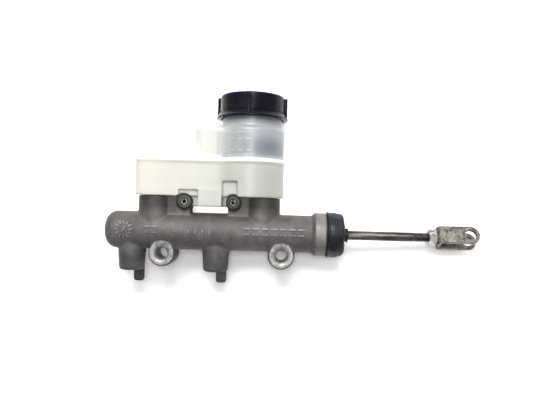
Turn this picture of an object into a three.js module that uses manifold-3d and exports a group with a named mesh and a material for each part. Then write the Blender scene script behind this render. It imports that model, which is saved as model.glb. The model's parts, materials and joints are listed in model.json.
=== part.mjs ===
// Tandem brake master cylinder with its fluid reservoir, pushrod and clevis, in millimetres.
// X runs along the bore from the closed end to the clevis, Z points up to the reservoir cap,
// and the origin lies midway between the two mounting bolts, in the plane of symmetry Y = 0.
import * as THREE from "three";
import { mergeVertices } from "three/addons/utils/BufferGeometryUtils.js";
import Module from "manifold-3d";

const wasm = await Module();
wasm.setup();

// Clearances
const SEAT = 0.3; // between pieces that rest on each other
const RUNNING = 0.12; // per side, a piston in its bore
const SWING = 1.5; // per side, where the pushrod swivels

// Casting
const BORE_D = 19.05;
const AXIS_Z = 19.05; // bore axis above the mounting bolts
const BODY_D = 32.2;
const CLOSED_X = -100.8;
const OPEN_X = 89.3;
const END_WALL = 7.5;
const END_ROUND = 9;
const COLLAR_D = 37.4;
const COLLAR_LENGTH = 10.2;
const COLLAR_STEP = 2.6;

// Retaining parts in the open end
const COUNTERBORE_D = 25;
const COUNTERBORE_DEPTH = 6.3;
const WASHER_T = 1.6;
const WASHER_CLEAR = 1.73; // per side, round the pushrod
const RING_T = 1.3;
const RING_GROOVE_DEPTH = 1.2;

// Mounting bosses
const BOLT_SPACING = 101.6;
const BOLT_HOLE_D = 10.3;
const BOLT_BOSS_D = 21.8;
const BOLT_BOSS_HALF = 13;
const CHAMFER = 1.2;

// Outlets
const FRONT_OUTLET_X = -78.4;
const REAR_OUTLET_X = -5.8;
const OUTLET_TOP_D = 25.8;
const OUTLET_BOTTOM_D = 21.4;
const OUTLET_BOTTOM_Z = -15.5;
const OUTLET_EDGE = 1.4;
const PORT_D = 10;
const PORT_DEPTH = 14;
const PORT_DRILL_D = 4;
const TAB_WIDTH = 9.2;
const TAB_T = 4;
const TAB_Y = 7;
const TAB_OFFSET = 4.3;
const TAB_DROP = 10.9;

// Reservoir towers of the casting
const FRONT_TOWER_X = -59.1;
const REAR_TOWER_X = 34.3;
const TOWER_D = 29;
const TOWER_TOP_Z = 49.1;
const CUP_D = 19.2;
const CUP_FLOOR_Z = 36;
const VENT_D = 1.4;
const VENT_OFFSET = -6.3;
const INLET_D = 4;
const INLET_OFFSET = 4;
const STOP_PIN_D = 2.5;
const STOP_PIN_OFFSET = 7.7;

// Ears and roll pins that hold the reservoir down
const FRONT_PIN_X = -32.5;
const REAR_PIN_X = 9;
const PIN_DROP = 4.6; // below the towers' tops
const PIN_D = 6;
const PIN_WALL = 1;
const PIN_BOSS_D = 13.5;
const PIN_BOSS_FACE_D = 11;
const PIN_BOSS_HALF = 12.5;
const EAR_IN = 4.6;
const EAR_OUT = 8.4;
const EAR_TOP_DROP = 0.9;
const EAR_FOOT_INSET = 2.2; // foot of an ear inside its boss

// Pistons, measured from the tower that feeds each pressure chamber
const LIP_OFFSET = -5;
const CUP_LENGTH = 4.5;
const LAND = 2.5;
const FLANGE = 2.6;
const FLANGE_D = 14.8;
const CUP_GROOVE_D = 11.2;
const SOCKET_WALL = 1.3; // between the pushrod's socket and the rear seal's groove
const WAIST_D = 12;
const PRIMARY_REAR_LAND = 7.5;
const SECONDARY_TAIL_X = -23;
const STOP_COLLAR_D = 15.6;
const STOP_COLLAR_T = 1.7;
const STOP_PIN_REACH = 6.4; // lower end of the stop pin above the bore axis

// Springs
const SPRING_D = 13.4;
const WIRE_D = 1.8;
const PRIMARY_TURNS = 8.5;
const SECONDARY_TURNS = 4.5;
const SPRING_SEAT_T = 1.2;

// Pushrod, jam nut and clevis
const ROD_D = 7.94;
const BALL_OVER = 2.06; // ball diameter over the rod's
const BALL_INSET = 6; // ball centre inside the primary piston's rear face
const ROD_END_X = 195;
const RETAINER_T = 1.5;
const RETAINER_INSET = 1.4;
const RETAINER_D = 13.4;
const NUT_FLATS = 12.7;
const NUT_T = 6.6;
const CLEVIS_X = 185.2;
const CLEVIS_STRAP = 3;
const CLEVIS_ROD_GAP = 0.18; // per side, the rod's end between the arms
const CLEVIS_WIDTH = 16;
const CLEVIS_PIN_D = 10;
const CLEVIS_PIN_X = 213.5;
const CLEVIS_TURN = THREE.MathUtils.degToRad(-32);
const CLEVIS_BEND = 4;

// Boot
const BOOT_D = 38.7;
const BOOT_BEAD_D = 39.6;
const BOOT_LENGTH = 14.8;
const BOOT_SHOULDER = 5;
const BOOT_WALL = 2;
const BOOT_NOSE_WALL = 0.83;
const BOOT_NOSE_LENGTH = 3.6;

// Reservoir
const RES_FRONT_X = -74.3;
const RES_HALF_WIDTH = 19.5;
const RES_CORNER = 8;
const RES_ROUND_X = 22.7;
const LOWER_HEIGHT = 31.2;
const SEAM_FLANGE_T = 2.7;
const SEAM_PROUD = 0.5;
const LOBE_HEIGHT = 13.4; // above the seam
const SHOULDER_HEIGHT = 29.2;
const SHOULDER_FRONT_X = -25;
const UPPER_INSET = 0.6;
const TOP_ROUND = 5;
const RES_WALL = 2.4;
const NIPPLE_D = 12;
const NIPPLE_LENGTH = 11;
const NIPPLE_WALL = 2;
const TONGUE_FRONT_X = -20.1;
const TONGUE_REAR_X = -0.4;
const TONGUE_DROP = 3.9; // below the roll pins
const TONGUE_HALF = 19.8;
const TONGUE_HEIGHT = 6.5; // above the reservoir's underside
const LUG_REACH = 8.4; // lug past the roll pin's centre
const POCKET_HALF = 16.8;
const FRONT_POCKET_HEIGHT = 5.2;
const REAR_POCKET_HEIGHT = 12.9;
const BAFFLE_HEIGHT = 15.4;

// Neck, diaphragm and cap
const NECK_D = 51.6;
const NECK_WALL = 3;
const NECK_HEIGHT = 21.7;
const NECK_SHOULDER = 2.2; // ledge round the neck
const DIAPHRAGM_T = 1.6;
const DIAPHRAGM_DEPTH = 9;
const DIAPHRAGM_CLEAR = 2;
const CAP_RISE = 6.8; // cap's rim above the shoulder
const CAP_WALL = 1.4;
const CAP_TOP_T = 3.2;
const CAP_LIP = 3.2; // flare of the cap's rim
const CAP_LIP_HEIGHT = 5;
const CAP_EDGE = 1.6;
const RIB_DEPTH = 2.6;
const RIB_WIDTH = 3;
const RIB_COUNT = 4;
const RIB_TURN = THREE.MathUtils.degToRad(-4);

// Facets round a circle
const COARSE = 20;
const FINE = 32;

// Worked-out places
const COLLAR_X = OPEN_X - COLLAR_LENGTH;
const BORE_END_X = CLOSED_X + END_WALL;
const BOLT_X = BOLT_SPACING / 2;
const COUNTERBORE_X = OPEN_X - COUNTERBORE_DEPTH;
const PIN_Z = TOWER_TOP_Z - PIN_DROP;
const WASHER_X = COUNTERBORE_X + SEAT;
const RING_X = WASHER_X + WASHER_T + SEAT;
const PRIMARY_REAR_X = WASHER_X - SEAT;
const PISTON_D = BORE_D - 2 * RUNNING;
const PRIMARY_LIP_X = REAR_TOWER_X + LIP_OFFSET;
const SECONDARY_LIP_X = FRONT_TOWER_X + LIP_OFFSET;
const BALL_X = PRIMARY_REAR_X - BALL_INSET;
const STOP_PIN_X = FRONT_TOWER_X + STOP_PIN_OFFSET;
const BOOT_X = OPEN_X + SEAT;
const NUT_X = CLEVIS_X - SEAT - NUT_T;
const BALL_D = ROD_D + BALL_OVER;
const REAR_GROOVE_D = BALL_D + 2 * (SEAT + SOCKET_WALL);
const CLEVIS_HEIGHT = ROD_D + 2 * (CLEVIS_ROD_GAP + CLEVIS_STRAP);
const RES_BOTTOM_Z = TOWER_TOP_Z + SEAT;
const TONGUE_BOTTOM_Z = PIN_Z - TONGUE_DROP;
const LUG_HALF = EAR_IN - SEAT;
const SEAM_Z = RES_BOTTOM_Z + LOWER_HEIGHT;
const LOBE_TOP_Z = SEAM_Z + LOBE_HEIGHT;
const SHOULDER_TOP_Z = SEAM_Z + SHOULDER_HEIGHT;
const NECK_TOP_Z = SHOULDER_TOP_Z + NECK_HEIGHT;
const UPPER_ROUND_D = NECK_D + 2 * NECK_SHOULDER;
const RES_ROUND_D = UPPER_ROUND_D + 2 * UPPER_INSET;
const CAP_BOTTOM_Z = SHOULDER_TOP_Z + CAP_RISE;
const CEILING_Z = NECK_TOP_Z + SEAT + DIAPHRAGM_T + SEAT;
const CAP_TOP_Z = CEILING_Z + CAP_TOP_T;
const CAP_INNER_D = NECK_D + 4 * SEAT;
const CAP_D = CAP_INNER_D + 2 * CAP_WALL;
const RIB_D = CAP_D + 2 * RIB_DEPTH;
const FAR = 400; // reach of a cutting block beyond the whole part

// A three.js geometry as a manifold solid with its faces pointing out.
function solid(geometry) {
  const bare = geometry.clone();
  bare.deleteAttribute("normal");
  bare.deleteAttribute("uv");
  const merged = mergeVertices(bare, 1e-4);
  const make = (triVerts) =>
    new wasm.Manifold(
      new wasm.Mesh({ numProp: 3, vertProperties: merged.attributes.position.array, triVerts }),
    );
  const faces = Uint32Array.from(merged.index.array);
  const made = make(faces);
  return made.volume() < 0 ? make(faces.reverse()) : made;
}

// A solid as a three.js geometry with flat facets.
function geometryOf(body) {
  const mesh = body.getMesh();
  const indexed = new THREE.BufferGeometry();
  indexed.setAttribute("position", new THREE.BufferAttribute(mesh.vertProperties, 3));
  indexed.setIndex(new THREE.BufferAttribute(mesh.triVerts, 1));
  const geometry = indexed.toNonIndexed();
  geometry.computeVertexNormals();
  return geometry;
}

function join(bodies) {
  return bodies.reduce((all, body) => all.add(body));
}

// A body turned about an upright line through (x, 0), from points [radius, height].
function turnedZ(points, x, facets = COARSE) {
  const profile = points.map(([r, z]) => new THREE.Vector2(r, z));
  const geometry = new THREE.LatheGeometry(profile, facets);
  return solid(geometry.rotateX(Math.PI / 2).translate(x, 0, 0));
}

// A body turned about the bore axis, from points [radius, x].
function turnedX(points, facets = COARSE) {
  const profile = points.map(([r, x]) => new THREE.Vector2(r, x));
  const geometry = new THREE.LatheGeometry(profile, facets);
  return solid(geometry.rotateZ(-Math.PI / 2).translate(0, 0, AXIS_Z));
}

// A body turned about a line along Y through (x, z), from points [radius, y].
function turnedY(points, x, z, facets = COARSE) {
  const profile = points.map(([r, y]) => new THREE.Vector2(r, y));
  return solid(new THREE.LatheGeometry(profile, facets).translate(x, 0, z));
}

function rodProfile(diameter, from, to) {
  return [[0, from], [diameter / 2, from], [diameter / 2, to], [0, to]];
}

function ringProfile(outer, inner, from, to) {
  return [[inner / 2, from], [outer / 2, from], [outer / 2, to], [inner / 2, to], [inner / 2, from]];
}

// Points of an arc about (r, h), as [radius, height] pairs.
function arcPoints(r, h, radius, fromDegrees, toDegrees, steps) {
  return Array.from({ length: steps + 1 }, (_, i) => {
    const angle = THREE.MathUtils.degToRad(fromDegrees + ((toDegrees - fromDegrees) * i) / steps);
    return [r + radius * Math.cos(angle), h + radius * Math.sin(angle)];
  });
}

function block(x0, x1, y0, y1, z0, z1) {
  const geometry = new THREE.BoxGeometry(x1 - x0, y1 - y0, z1 - z0);
  return solid(geometry.translate((x0 + x1) / 2, (y0 + y1) / 2, (z0 + z1) / 2));
}

// An outline in X and Y raised from z0 to z1, with its top edge rounded where that is asked for.
function raised(shape, z0, z1, round = 0) {
  const start = z0 - round;
  const geometry = new THREE.ExtrudeGeometry(shape, {
    depth: z1 - start - 2 * round,
    bevelEnabled: round > 0,
    bevelThickness: round,
    bevelSize: round,
    bevelOffset: -round,
    bevelSegments: 2,
    curveSegments: 7,
  });
  const body = solid(geometry.translate(0, 0, start + round));
  return round > 0 ? body.subtract(block(-FAR, FAR, -FAR, FAR, z0 - 2 * round - 1, z0)) : body;
}

function discShape(x, diameter) {
  const shape = new THREE.Shape();
  shape.absarc(x, 0, diameter / 2, 0, 2 * Math.PI, false);
  return shape;
}

// A rectangle in X and Y whose two corners on the closed-end side are rounded.
function lobeShape(x0, x1, half, corner) {
  const shape = new THREE.Shape();
  shape.moveTo(x1, -half);
  shape.lineTo(x1, half);
  shape.lineTo(x0 + corner, half);
  shape.absarc(x0 + corner, half - corner, corner, Math.PI / 2, Math.PI, false);
  shape.absarc(x0 + corner, corner - half, corner, Math.PI, 1.5 * Math.PI, false);
  return shape;
}

// Everything that stands at one tower: the tower, its cup, and the holes in the cup's floor.
function towerBody(x) {
  return turnedZ(rodProfile(TOWER_D, AXIS_Z, TOWER_TOP_Z), x, FINE);
}

function towerCuts(x) {
  const drop = AXIS_Z + BORE_D / 4;
  return join([
    turnedZ(rodProfile(CUP_D, CUP_FLOOR_Z, TOWER_TOP_Z + 1), x),
    turnedZ(rodProfile(VENT_D, drop, CUP_FLOOR_Z + 1), x + VENT_OFFSET, 8),
    turnedZ(rodProfile(INLET_D, drop, CUP_FLOOR_Z + 1), x + INLET_OFFSET, 12),
  ]);
}

// One ear, a web from its tower to the boss that holds the roll pin. side is -1 or 1 in Y.
function ear(towerX, pinX, side) {
  const outward = Math.sign(pinX - towerX);
  const tip = pinX + outward * (PIN_BOSS_D / 2 - EAR_FOOT_INSET);
  const low = AXIS_Z + BODY_D / 4;
  const y0 = side < 0 ? -EAR_OUT : EAR_IN;
  const y1 = side < 0 ? -EAR_IN : EAR_OUT;
  const webTop = TOWER_TOP_Z - EAR_TOP_DROP;
  const web = block(Math.min(towerX, pinX), Math.max(towerX, pinX), y0, y1, low, webTop);
  const foot = block(Math.min(pinX, tip), Math.max(pinX, tip), y0, y1, low, PIN_Z);
  const profile = [
    [0, side * EAR_IN],
    [PIN_BOSS_D / 2, side * EAR_IN],
    [PIN_BOSS_D / 2, side * EAR_OUT],
    [PIN_BOSS_FACE_D / 2, side * PIN_BOSS_HALF],
    [0, side * PIN_BOSS_HALF],
  ];
  return join([web, foot, turnedY(profile, pinX, PIN_Z)]);
}

function outletBoss(x) {
  const bottom = OUTLET_BOTTOM_D / 2;
  const profile = [
    [0, OUTLET_BOTTOM_Z],
    [bottom - OUTLET_EDGE, OUTLET_BOTTOM_Z],
    [bottom, OUTLET_BOTTOM_Z + OUTLET_EDGE],
    [OUTLET_TOP_D / 2, AXIS_Z],
    [0, AXIS_Z],
  ];
  return join([turnedZ(profile, x, FINE), outletTab(x)]);
}

// The stop beside an outlet that keeps its hose fitting from turning.
function outletTab(x) {
  const z0 = OUTLET_BOTTOM_Z - TAB_DROP;
  const half = TAB_WIDTH / 2;
  const round = half / 2;
  const shape = new THREE.Shape();
  shape.moveTo(half, 0);
  shape.lineTo(-half, 0);
  shape.lineTo(-half, z0 + round);
  shape.absarc(round - half, z0 + round, round, Math.PI, 1.5 * Math.PI, false);
  shape.absarc(half - round, z0 + round, round, 1.5 * Math.PI, 2 * Math.PI, false);
  const settings = { depth: TAB_T, bevelEnabled: false, curveSegments: 4 };
  const geometry = new THREE.ExtrudeGeometry(shape, settings).rotateX(Math.PI / 2);
  return solid(geometry.translate(x + TAB_OFFSET, TAB_Y + TAB_T, 0));
}

function outletCuts(x) {
  const top = OUTLET_BOTTOM_Z + PORT_DEPTH;
  const seat = PORT_D / 4;
  const profile = [
    [0, OUTLET_BOTTOM_Z - 1],
    [PORT_D / 2 + CHAMFER, OUTLET_BOTTOM_Z - 1],
    [PORT_D / 2 + CHAMFER, OUTLET_BOTTOM_Z],
    [PORT_D / 2, OUTLET_BOTTOM_Z + CHAMFER],
    [PORT_D / 2, top],
    [PORT_DRILL_D / 2, top + seat],
    [PORT_DRILL_D / 2, AXIS_Z],
    [0, AXIS_Z],
  ];
  return turnedZ(profile, x);
}

function boltCuts(x) {
  const hole = BOLT_HOLE_D / 2;
  return turnedY(
    [
      [0, -BODY_D],
      [BOLT_BOSS_D / 2, -BODY_D],
      [BOLT_BOSS_D / 2, -BOLT_BOSS_HALF],
      [hole + CHAMFER, -BOLT_BOSS_HALF],
      [hole, CHAMFER - BOLT_BOSS_HALF],
      [hole, BOLT_BOSS_HALF - CHAMFER],
      [hole + CHAMFER, BOLT_BOSS_HALF],
      [BOLT_BOSS_D / 2, BOLT_BOSS_HALF],
      [BOLT_BOSS_D / 2, BODY_D],
      [0, BODY_D],
    ],
    x,
    0,
    FINE,
  );
}

function barrel() {
  const body = BODY_D / 2;
  const collar = COLLAR_D / 2;
  const end = arcPoints(body - END_ROUND, CLOSED_X + END_ROUND, END_ROUND, -84, 0, 5);
  const edge = 0.8;
  return turnedX(
    [
      [0, CLOSED_X],
      ...end,
      [body, COLLAR_X - COLLAR_STEP],
      [collar, COLLAR_X],
      [collar, OPEN_X - edge],
      [collar - edge, OPEN_X],
      [0, OPEN_X],
    ],
    FINE,
  );
}

function boreCuts() {
  const bore = BORE_D / 2;
  const counterbore = COUNTERBORE_D / 2;
  const groove = counterbore + RING_GROOVE_DEPTH;
  const drillPoint = BORE_END_X - bore / 4;
  return turnedX(
    [
      [0, drillPoint],
      [bore, BORE_END_X],
      [bore, COUNTERBORE_X],
      [counterbore, COUNTERBORE_X],
      [counterbore, RING_X - SEAT],
      [groove, RING_X - SEAT],
      [groove, RING_X + RING_T + SEAT],
      [counterbore, RING_X + RING_T + SEAT],
      [counterbore, OPEN_X + 1],
      [0, OPEN_X + 1],
    ],
    FINE,
  );
}

function pinHole(x) {
  const reach = PIN_BOSS_HALF + 1;
  return turnedY(rodProfile(PIN_D + 2 * SEAT, -reach, reach), x, PIN_Z, 16);
}

function housing() {
  const boltBoss = rodProfile(BOLT_BOSS_D, -BOLT_BOSS_HALF, BOLT_BOSS_HALF);
  const towers = [
    [FRONT_TOWER_X, FRONT_PIN_X],
    [REAR_TOWER_X, REAR_PIN_X],
  ];
  const adds = [barrel(), outletBoss(FRONT_OUTLET_X), outletBoss(REAR_OUTLET_X)];
  const cuts = [boreCuts(), outletCuts(FRONT_OUTLET_X), outletCuts(REAR_OUTLET_X)];
  for (const [towerX, pinX] of towers) {
    adds.push(towerBody(towerX), ear(towerX, pinX, -1), ear(towerX, pinX, 1));
    cuts.push(towerCuts(towerX), pinHole(pinX));
  }
  for (const x of [-BOLT_X, BOLT_X]) {
    adds.push(turnedY(boltBoss, x, 0, FINE));
    cuts.push(boltCuts(x));
  }
  const pinDrill = rodProfile(STOP_PIN_D + 2 * SEAT, AXIS_Z, CUP_FLOOR_Z + 1);
  cuts.push(turnedZ(pinDrill, STOP_PIN_X, 12));
  return join(adds).subtract(join(cuts));
}

// Outer form of the lower reservoir, or its hollow when inset is the wall.
function lowerForm(inset, z0, z1) {
  const lobe = lobeShape(RES_FRONT_X + inset, RES_ROUND_X, RES_HALF_WIDTH - inset, RES_CORNER - inset);
  const round = discShape(RES_ROUND_X, RES_ROUND_D - 2 * inset);
  return join([raised(lobe, z0, z1), raised(round, z0, z1)]);
}

// Outer form of the upper reservoir above the seam, or its hollow when inset is the wall.
function upperForm(inset, z0, lobeTop, shoulderTop) {
  const side = UPPER_INSET + inset;
  const half = RES_HALF_WIDTH - side;
  const lobe = lobeShape(RES_FRONT_X + side, RES_ROUND_X, half, RES_CORNER - inset);
  const shoulder = lobeShape(SHOULDER_FRONT_X + inset, RES_ROUND_X, half, RES_CORNER - inset);
  const round = discShape(RES_ROUND_X, UPPER_ROUND_D - 2 * inset);
  const edge = TOP_ROUND - inset;
  return join([
    raised(lobe, z0, lobeTop, edge),
    raised(shoulder, z0, shoulderTop, edge),
    raised(round, z0, shoulderTop, edge),
  ]);
}

function seamFlange(z0, z1) {
  return lowerForm(-SEAM_PROUD, z0, z1);
}

// The pockets over the ears and the room round their bosses, grown by the wall to shape the hollow.
function pockets(grow) {
  const far = RES_ROUND_D / 2;
  const low = TONGUE_BOTTOM_Z - 1;
  const spans = [
    [FRONT_PIN_X - LUG_REACH / 2, TONGUE_FRONT_X, RES_BOTTOM_Z + FRONT_POCKET_HEIGHT],
    [TONGUE_REAR_X, REAR_PIN_X + LUG_REACH / 2, RES_BOTTOM_Z + REAR_POCKET_HEIGHT],
  ];
  const blocks = spans.flatMap(([x0, x1, top]) => [
    block(x0 - grow, x1 + grow, POCKET_HALF - grow, far, low, top + grow),
    block(x0 - grow, x1 + grow, -far, grow - POCKET_HALF, low, top + grow),
  ]);
  const clear = PIN_BOSS_D + 2 * SEAT + 2 * grow;
  const rounds = [FRONT_PIN_X, REAR_PIN_X].flatMap((x) => [
    turnedY(rodProfile(clear, LUG_HALF - grow, far), x, PIN_Z),
    turnedY(rodProfile(clear, -far, grow - LUG_HALF), x, PIN_Z),
  ]);
  return join([...blocks, ...rounds]);
}

function nipple(x) {
  const low = RES_BOTTOM_Z - NIPPLE_LENGTH;
  return turnedZ(rodProfile(NIPPLE_D, low, RES_BOTTOM_Z + RES_WALL), x);
}

function nippleBore(x) {
  const low = RES_BOTTOM_Z - NIPPLE_LENGTH - 1;
  return turnedZ(rodProfile(NIPPLE_D - 2 * NIPPLE_WALL, low, RES_BOTTOM_Z + RES_WALL + 1), x);
}

function reservoirLower() {
  const floorZ = RES_BOTTOM_Z + RES_WALL;
  const top = SEAM_Z - SEAT / 2;
  const lugTop = RES_BOTTOM_Z + RES_WALL / 2;
  const tongueTop = RES_BOTTOM_Z + TONGUE_HEIGHT;
  const middleX = (TONGUE_FRONT_X + TONGUE_REAR_X) / 2;
  const body = join([
    lowerForm(0, RES_BOTTOM_Z, top).subtract(pockets(0)),
    seamFlange(top - SEAM_FLANGE_T, top),
    block(TONGUE_FRONT_X, TONGUE_REAR_X, -TONGUE_HALF, TONGUE_HALF, TONGUE_BOTTOM_Z, tongueTop),
    block(
      FRONT_PIN_X - LUG_REACH,
      REAR_PIN_X + LUG_REACH,
      -LUG_HALF,
      LUG_HALF,
      TONGUE_BOTTOM_Z,
      lugTop,
    ),
    nipple(FRONT_TOWER_X),
    nipple(REAR_TOWER_X),
  ]);
  const baffle = block(
    middleX - RES_WALL / 2,
    middleX + RES_WALL / 2,
    -RES_HALF_WIDTH,
    RES_HALF_WIDTH,
    floorZ - 1,
    RES_BOTTOM_Z + BAFFLE_HEIGHT,
  );
  const hollow = lowerForm(RES_WALL, floorZ, top + 1).subtract(join([pockets(RES_WALL), baffle]));
  return body.subtract(
    join([
      hollow,
      nippleBore(FRONT_TOWER_X),
      nippleBore(REAR_TOWER_X),
      pinHole(FRONT_PIN_X),
      pinHole(REAR_PIN_X),
    ]),
  );
}

function reservoirUpper() {
  const bottom = SEAM_Z + SEAT / 2;
  const neck = NECK_D / 2;
  const throat = neck - NECK_WALL;
  const body = join([
    upperForm(0, bottom, LOBE_TOP_Z, SHOULDER_TOP_Z),
    seamFlange(bottom, bottom + SEAM_FLANGE_T),
    turnedZ(rodProfile(NECK_D, SHOULDER_TOP_Z - 1, NECK_TOP_Z), RES_ROUND_X, FINE),
  ]);
  const hollow = upperForm(RES_WALL, bottom - 1, LOBE_TOP_Z - RES_WALL, SHOULDER_TOP_Z - RES_WALL);
  const mouth = rodProfile(2 * throat, SHOULDER_TOP_Z - RES_WALL - 1, NECK_TOP_Z + 1);
  return body.subtract(join([hollow, turnedZ(mouth, RES_ROUND_X, FINE)]));
}

function diaphragm() {
  const top = NECK_TOP_Z + SEAT + DIAPHRAGM_T;
  const rim = NECK_D / 2 - SEAT;
  const cup = NECK_D / 2 - NECK_WALL - DIAPHRAGM_CLEAR;
  const inner = cup - DIAPHRAGM_T;
  const low = top - DIAPHRAGM_T - DIAPHRAGM_DEPTH;
  const fold = cup / 2;
  return turnedZ(
    [
      [0, low + DIAPHRAGM_T],
      [fold - DIAPHRAGM_T, low + DIAPHRAGM_T],
      [fold, low + DIAPHRAGM_DEPTH / 2 + DIAPHRAGM_T],
      [inner - DIAPHRAGM_T, low + DIAPHRAGM_T],
      [inner, low + 2 * DIAPHRAGM_T],
      [inner, top],
      [rim, top],
      [rim, top - DIAPHRAGM_T],
      [cup, top - DIAPHRAGM_T],
      [cup, low + DIAPHRAGM_T],
      [cup - DIAPHRAGM_T, low],
      [inner - DIAPHRAGM_T, low],
      [fold, low + DIAPHRAGM_DEPTH / 2],
      [fold - DIAPHRAGM_T, low],
      [0, low],
    ].reverse(),
    RES_ROUND_X,
    FINE,
  );
}

function cap() {
  const inner = CAP_INNER_D / 2;
  const body = CAP_D / 2;
  const lip = body + CAP_LIP;
  const lipTop = CAP_BOTTOM_Z + CAP_LIP_HEIGHT;
  const turned = turnedZ(
    [
      [0, CEILING_Z],
      [inner, CEILING_Z],
      [inner, CAP_BOTTOM_Z + 1],
      [inner + 1, CAP_BOTTOM_Z],
      [lip, CAP_BOTTOM_Z],
      [lip, CAP_BOTTOM_Z + CAP_EDGE],
      [body + 1, lipTop],
      [body, lipTop],
      [body, CAP_TOP_Z - CAP_EDGE],
      [body - CAP_EDGE, CAP_TOP_Z],
      [0, CAP_TOP_Z],
    ],
    RES_ROUND_X,
    FINE,
  );
  const ribs = [];
  for (let i = 0; i < RIB_COUNT; i += 1) {
    const angle = RIB_TURN + (i * 2 * Math.PI) / RIB_COUNT;
    const length = (RIB_D - CAP_D) / 2 + CAP_EDGE;
    const height = CAP_TOP_Z - CAP_EDGE - CAP_BOTTOM_Z - CAP_EDGE;
    const geometry = new THREE.BoxGeometry(length, RIB_WIDTH, height);
    geometry.translate(RIB_D / 2 - length / 2, 0, CAP_BOTTOM_Z + CAP_EDGE + height / 2);
    ribs.push(solid(geometry.rotateZ(angle).translate(RES_ROUND_X, 0, 0)));
  }
  return join([turned, ...ribs]);
}

function grommet(x) {
  const outer = CUP_D - 2 * SEAT;
  const inner = NIPPLE_D + 2 * SEAT;
  const low = CUP_FLOOR_Z + SEAT;
  return turnedZ(ringProfile(outer, inner, low, TOWER_TOP_Z - SEAT), x);
}

// A split tube that holds the reservoir between the ears.
function rollPin(x) {
  const split = 0.08 * Math.PI;
  const shape = new THREE.Shape();
  shape.absarc(0, 0, PIN_D / 2, split, 2 * Math.PI - split, false);
  shape.absarc(0, 0, PIN_D / 2 - PIN_WALL, 2 * Math.PI - split, split, true);
  const half = PIN_BOSS_HALF - SEAT;
  const settings = { depth: 2 * half, bevelEnabled: false, curveSegments: 16 };
  const geometry = new THREE.ExtrudeGeometry(shape, settings).rotateX(Math.PI / 2);
  return solid(geometry.translate(x, half, PIN_Z));
}

// A U-cup seal. open is -1 when its lip faces the closed end and 1 when it faces the pushrod.
function cupSeal(x, grooveD, open) {
  const inner = grooveD / 2 + SEAT;
  const outer = PISTON_D / 2;
  const wall = (outer - inner) / 4;
  const back = open < 0 ? x + CUP_LENGTH - SEAT : x + SEAT;
  const lip = open < 0 ? x + SEAT : x + CUP_LENGTH - SEAT;
  const valley = (back + lip) / 2;
  const points = [
    [inner, back],
    [outer, back],
    [outer, lip],
    [outer - wall, lip],
    [outer - 1.5 * wall, valley],
    [inner + 1.5 * wall, valley],
    [inner + wall, lip],
    [inner, lip],
    [inner, back],
  ];
  return turnedX(points);
}

// Front flange, cup groove and land at the head of either piston, as [radius, x] points.
function headProfile(lipX) {
  const groove = CUP_GROOVE_D / 2;
  const flange = FLANGE_D / 2;
  const flangeX = lipX - SEAT;
  const landX = lipX + CUP_LENGTH;
  return [
    [0, flangeX - FLANGE],
    [flange, flangeX - FLANGE],
    [flange, flangeX],
    [groove, flangeX],
    [groove, landX],
    [PISTON_D / 2, landX],
    [PISTON_D / 2, landX + LAND],
    [WAIST_D / 2, landX + LAND],
  ];
}

function primaryPiston() {
  const outer = PISTON_D / 2;
  const groove = REAR_GROOVE_D / 2;
  const rearLandX = PRIMARY_REAR_X - PRIMARY_REAR_LAND;
  const sealX = rearLandX - CUP_LENGTH;
  const socket = BALL_D / 2 + SEAT;
  const mouth = RETAINER_D / 2 + SEAT;
  const mouthX = PRIMARY_REAR_X - RETAINER_INSET - RETAINER_T - SEAT;
  const body = turnedX(
    [
      ...headProfile(PRIMARY_LIP_X),
      [WAIST_D / 2, sealX - LAND],
      [outer, sealX - LAND],
      [outer, sealX],
      [groove, sealX],
      [groove, rearLandX],
      [outer, rearLandX],
      [outer, PRIMARY_REAR_X],
      [0, PRIMARY_REAR_X],
    ],
  );
  const socketCut = turnedX(
    [
      [0, BALL_X - socket],
      [socket / 2, BALL_X - socket],
      [socket, BALL_X - socket / 2],
      [socket, mouthX],
      [mouth, mouthX],
      [mouth, PRIMARY_REAR_X + 1],
      [0, PRIMARY_REAR_X + 1],
    ],
  );
  return body.subtract(socketCut);
}

function secondaryPiston() {
  const outer = PISTON_D / 2;
  const groove = CUP_GROOVE_D / 2;
  const waist = WAIST_D / 2;
  const collarX = STOP_PIN_X - STOP_PIN_D / 2 - SEAT - STOP_COLLAR_T;
  const flangeX = SECONDARY_TAIL_X - FLANGE;
  const sealX = flangeX - CUP_LENGTH;
  return turnedX(
    [
      ...headProfile(SECONDARY_LIP_X),
      [waist, collarX],
      [STOP_COLLAR_D / 2, collarX],
      [STOP_COLLAR_D / 2, collarX + STOP_COLLAR_T],
      [waist, collarX + STOP_COLLAR_T],
      [waist, sealX - LAND],
      [outer, sealX - LAND],
      [outer, sealX],
      [groove, sealX],
      [groove, flangeX],
      [FLANGE_D / 2, flangeX],
      [FLANGE_D / 2, SECONDARY_TAIL_X],
      [0, SECONDARY_TAIL_X],
    ],
  );
}

class Coil extends THREE.Curve {
  constructor(diameter, x0, x1, turns) {
    super();
    Object.assign(this, { diameter, x0, x1, turns });
  }

  getPoint(t, target = new THREE.Vector3()) {
    const angle = 2 * Math.PI * this.turns * t;
    const radius = this.diameter / 2;
    const x = this.x0 + (this.x1 - this.x0) * t;
    return target.set(x, radius * Math.cos(angle), radius * Math.sin(angle) + AXIS_Z);
  }
}

function spring(x0, x1, turns) {
  const ends = WIRE_D / 2;
  const wire = new THREE.Shape();
  wire.absarc(0, 0, WIRE_D / 2, 0, 2 * Math.PI, false);
  const path = new Coil(SPRING_D, x0 + ends, x1 - ends, turns);
  const steps = Math.round(10 * turns);
  const settings = { steps, extrudePath: path, curveSegments: 3 };
  return solid(new THREE.ExtrudeGeometry(wire, settings));
}

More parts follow.
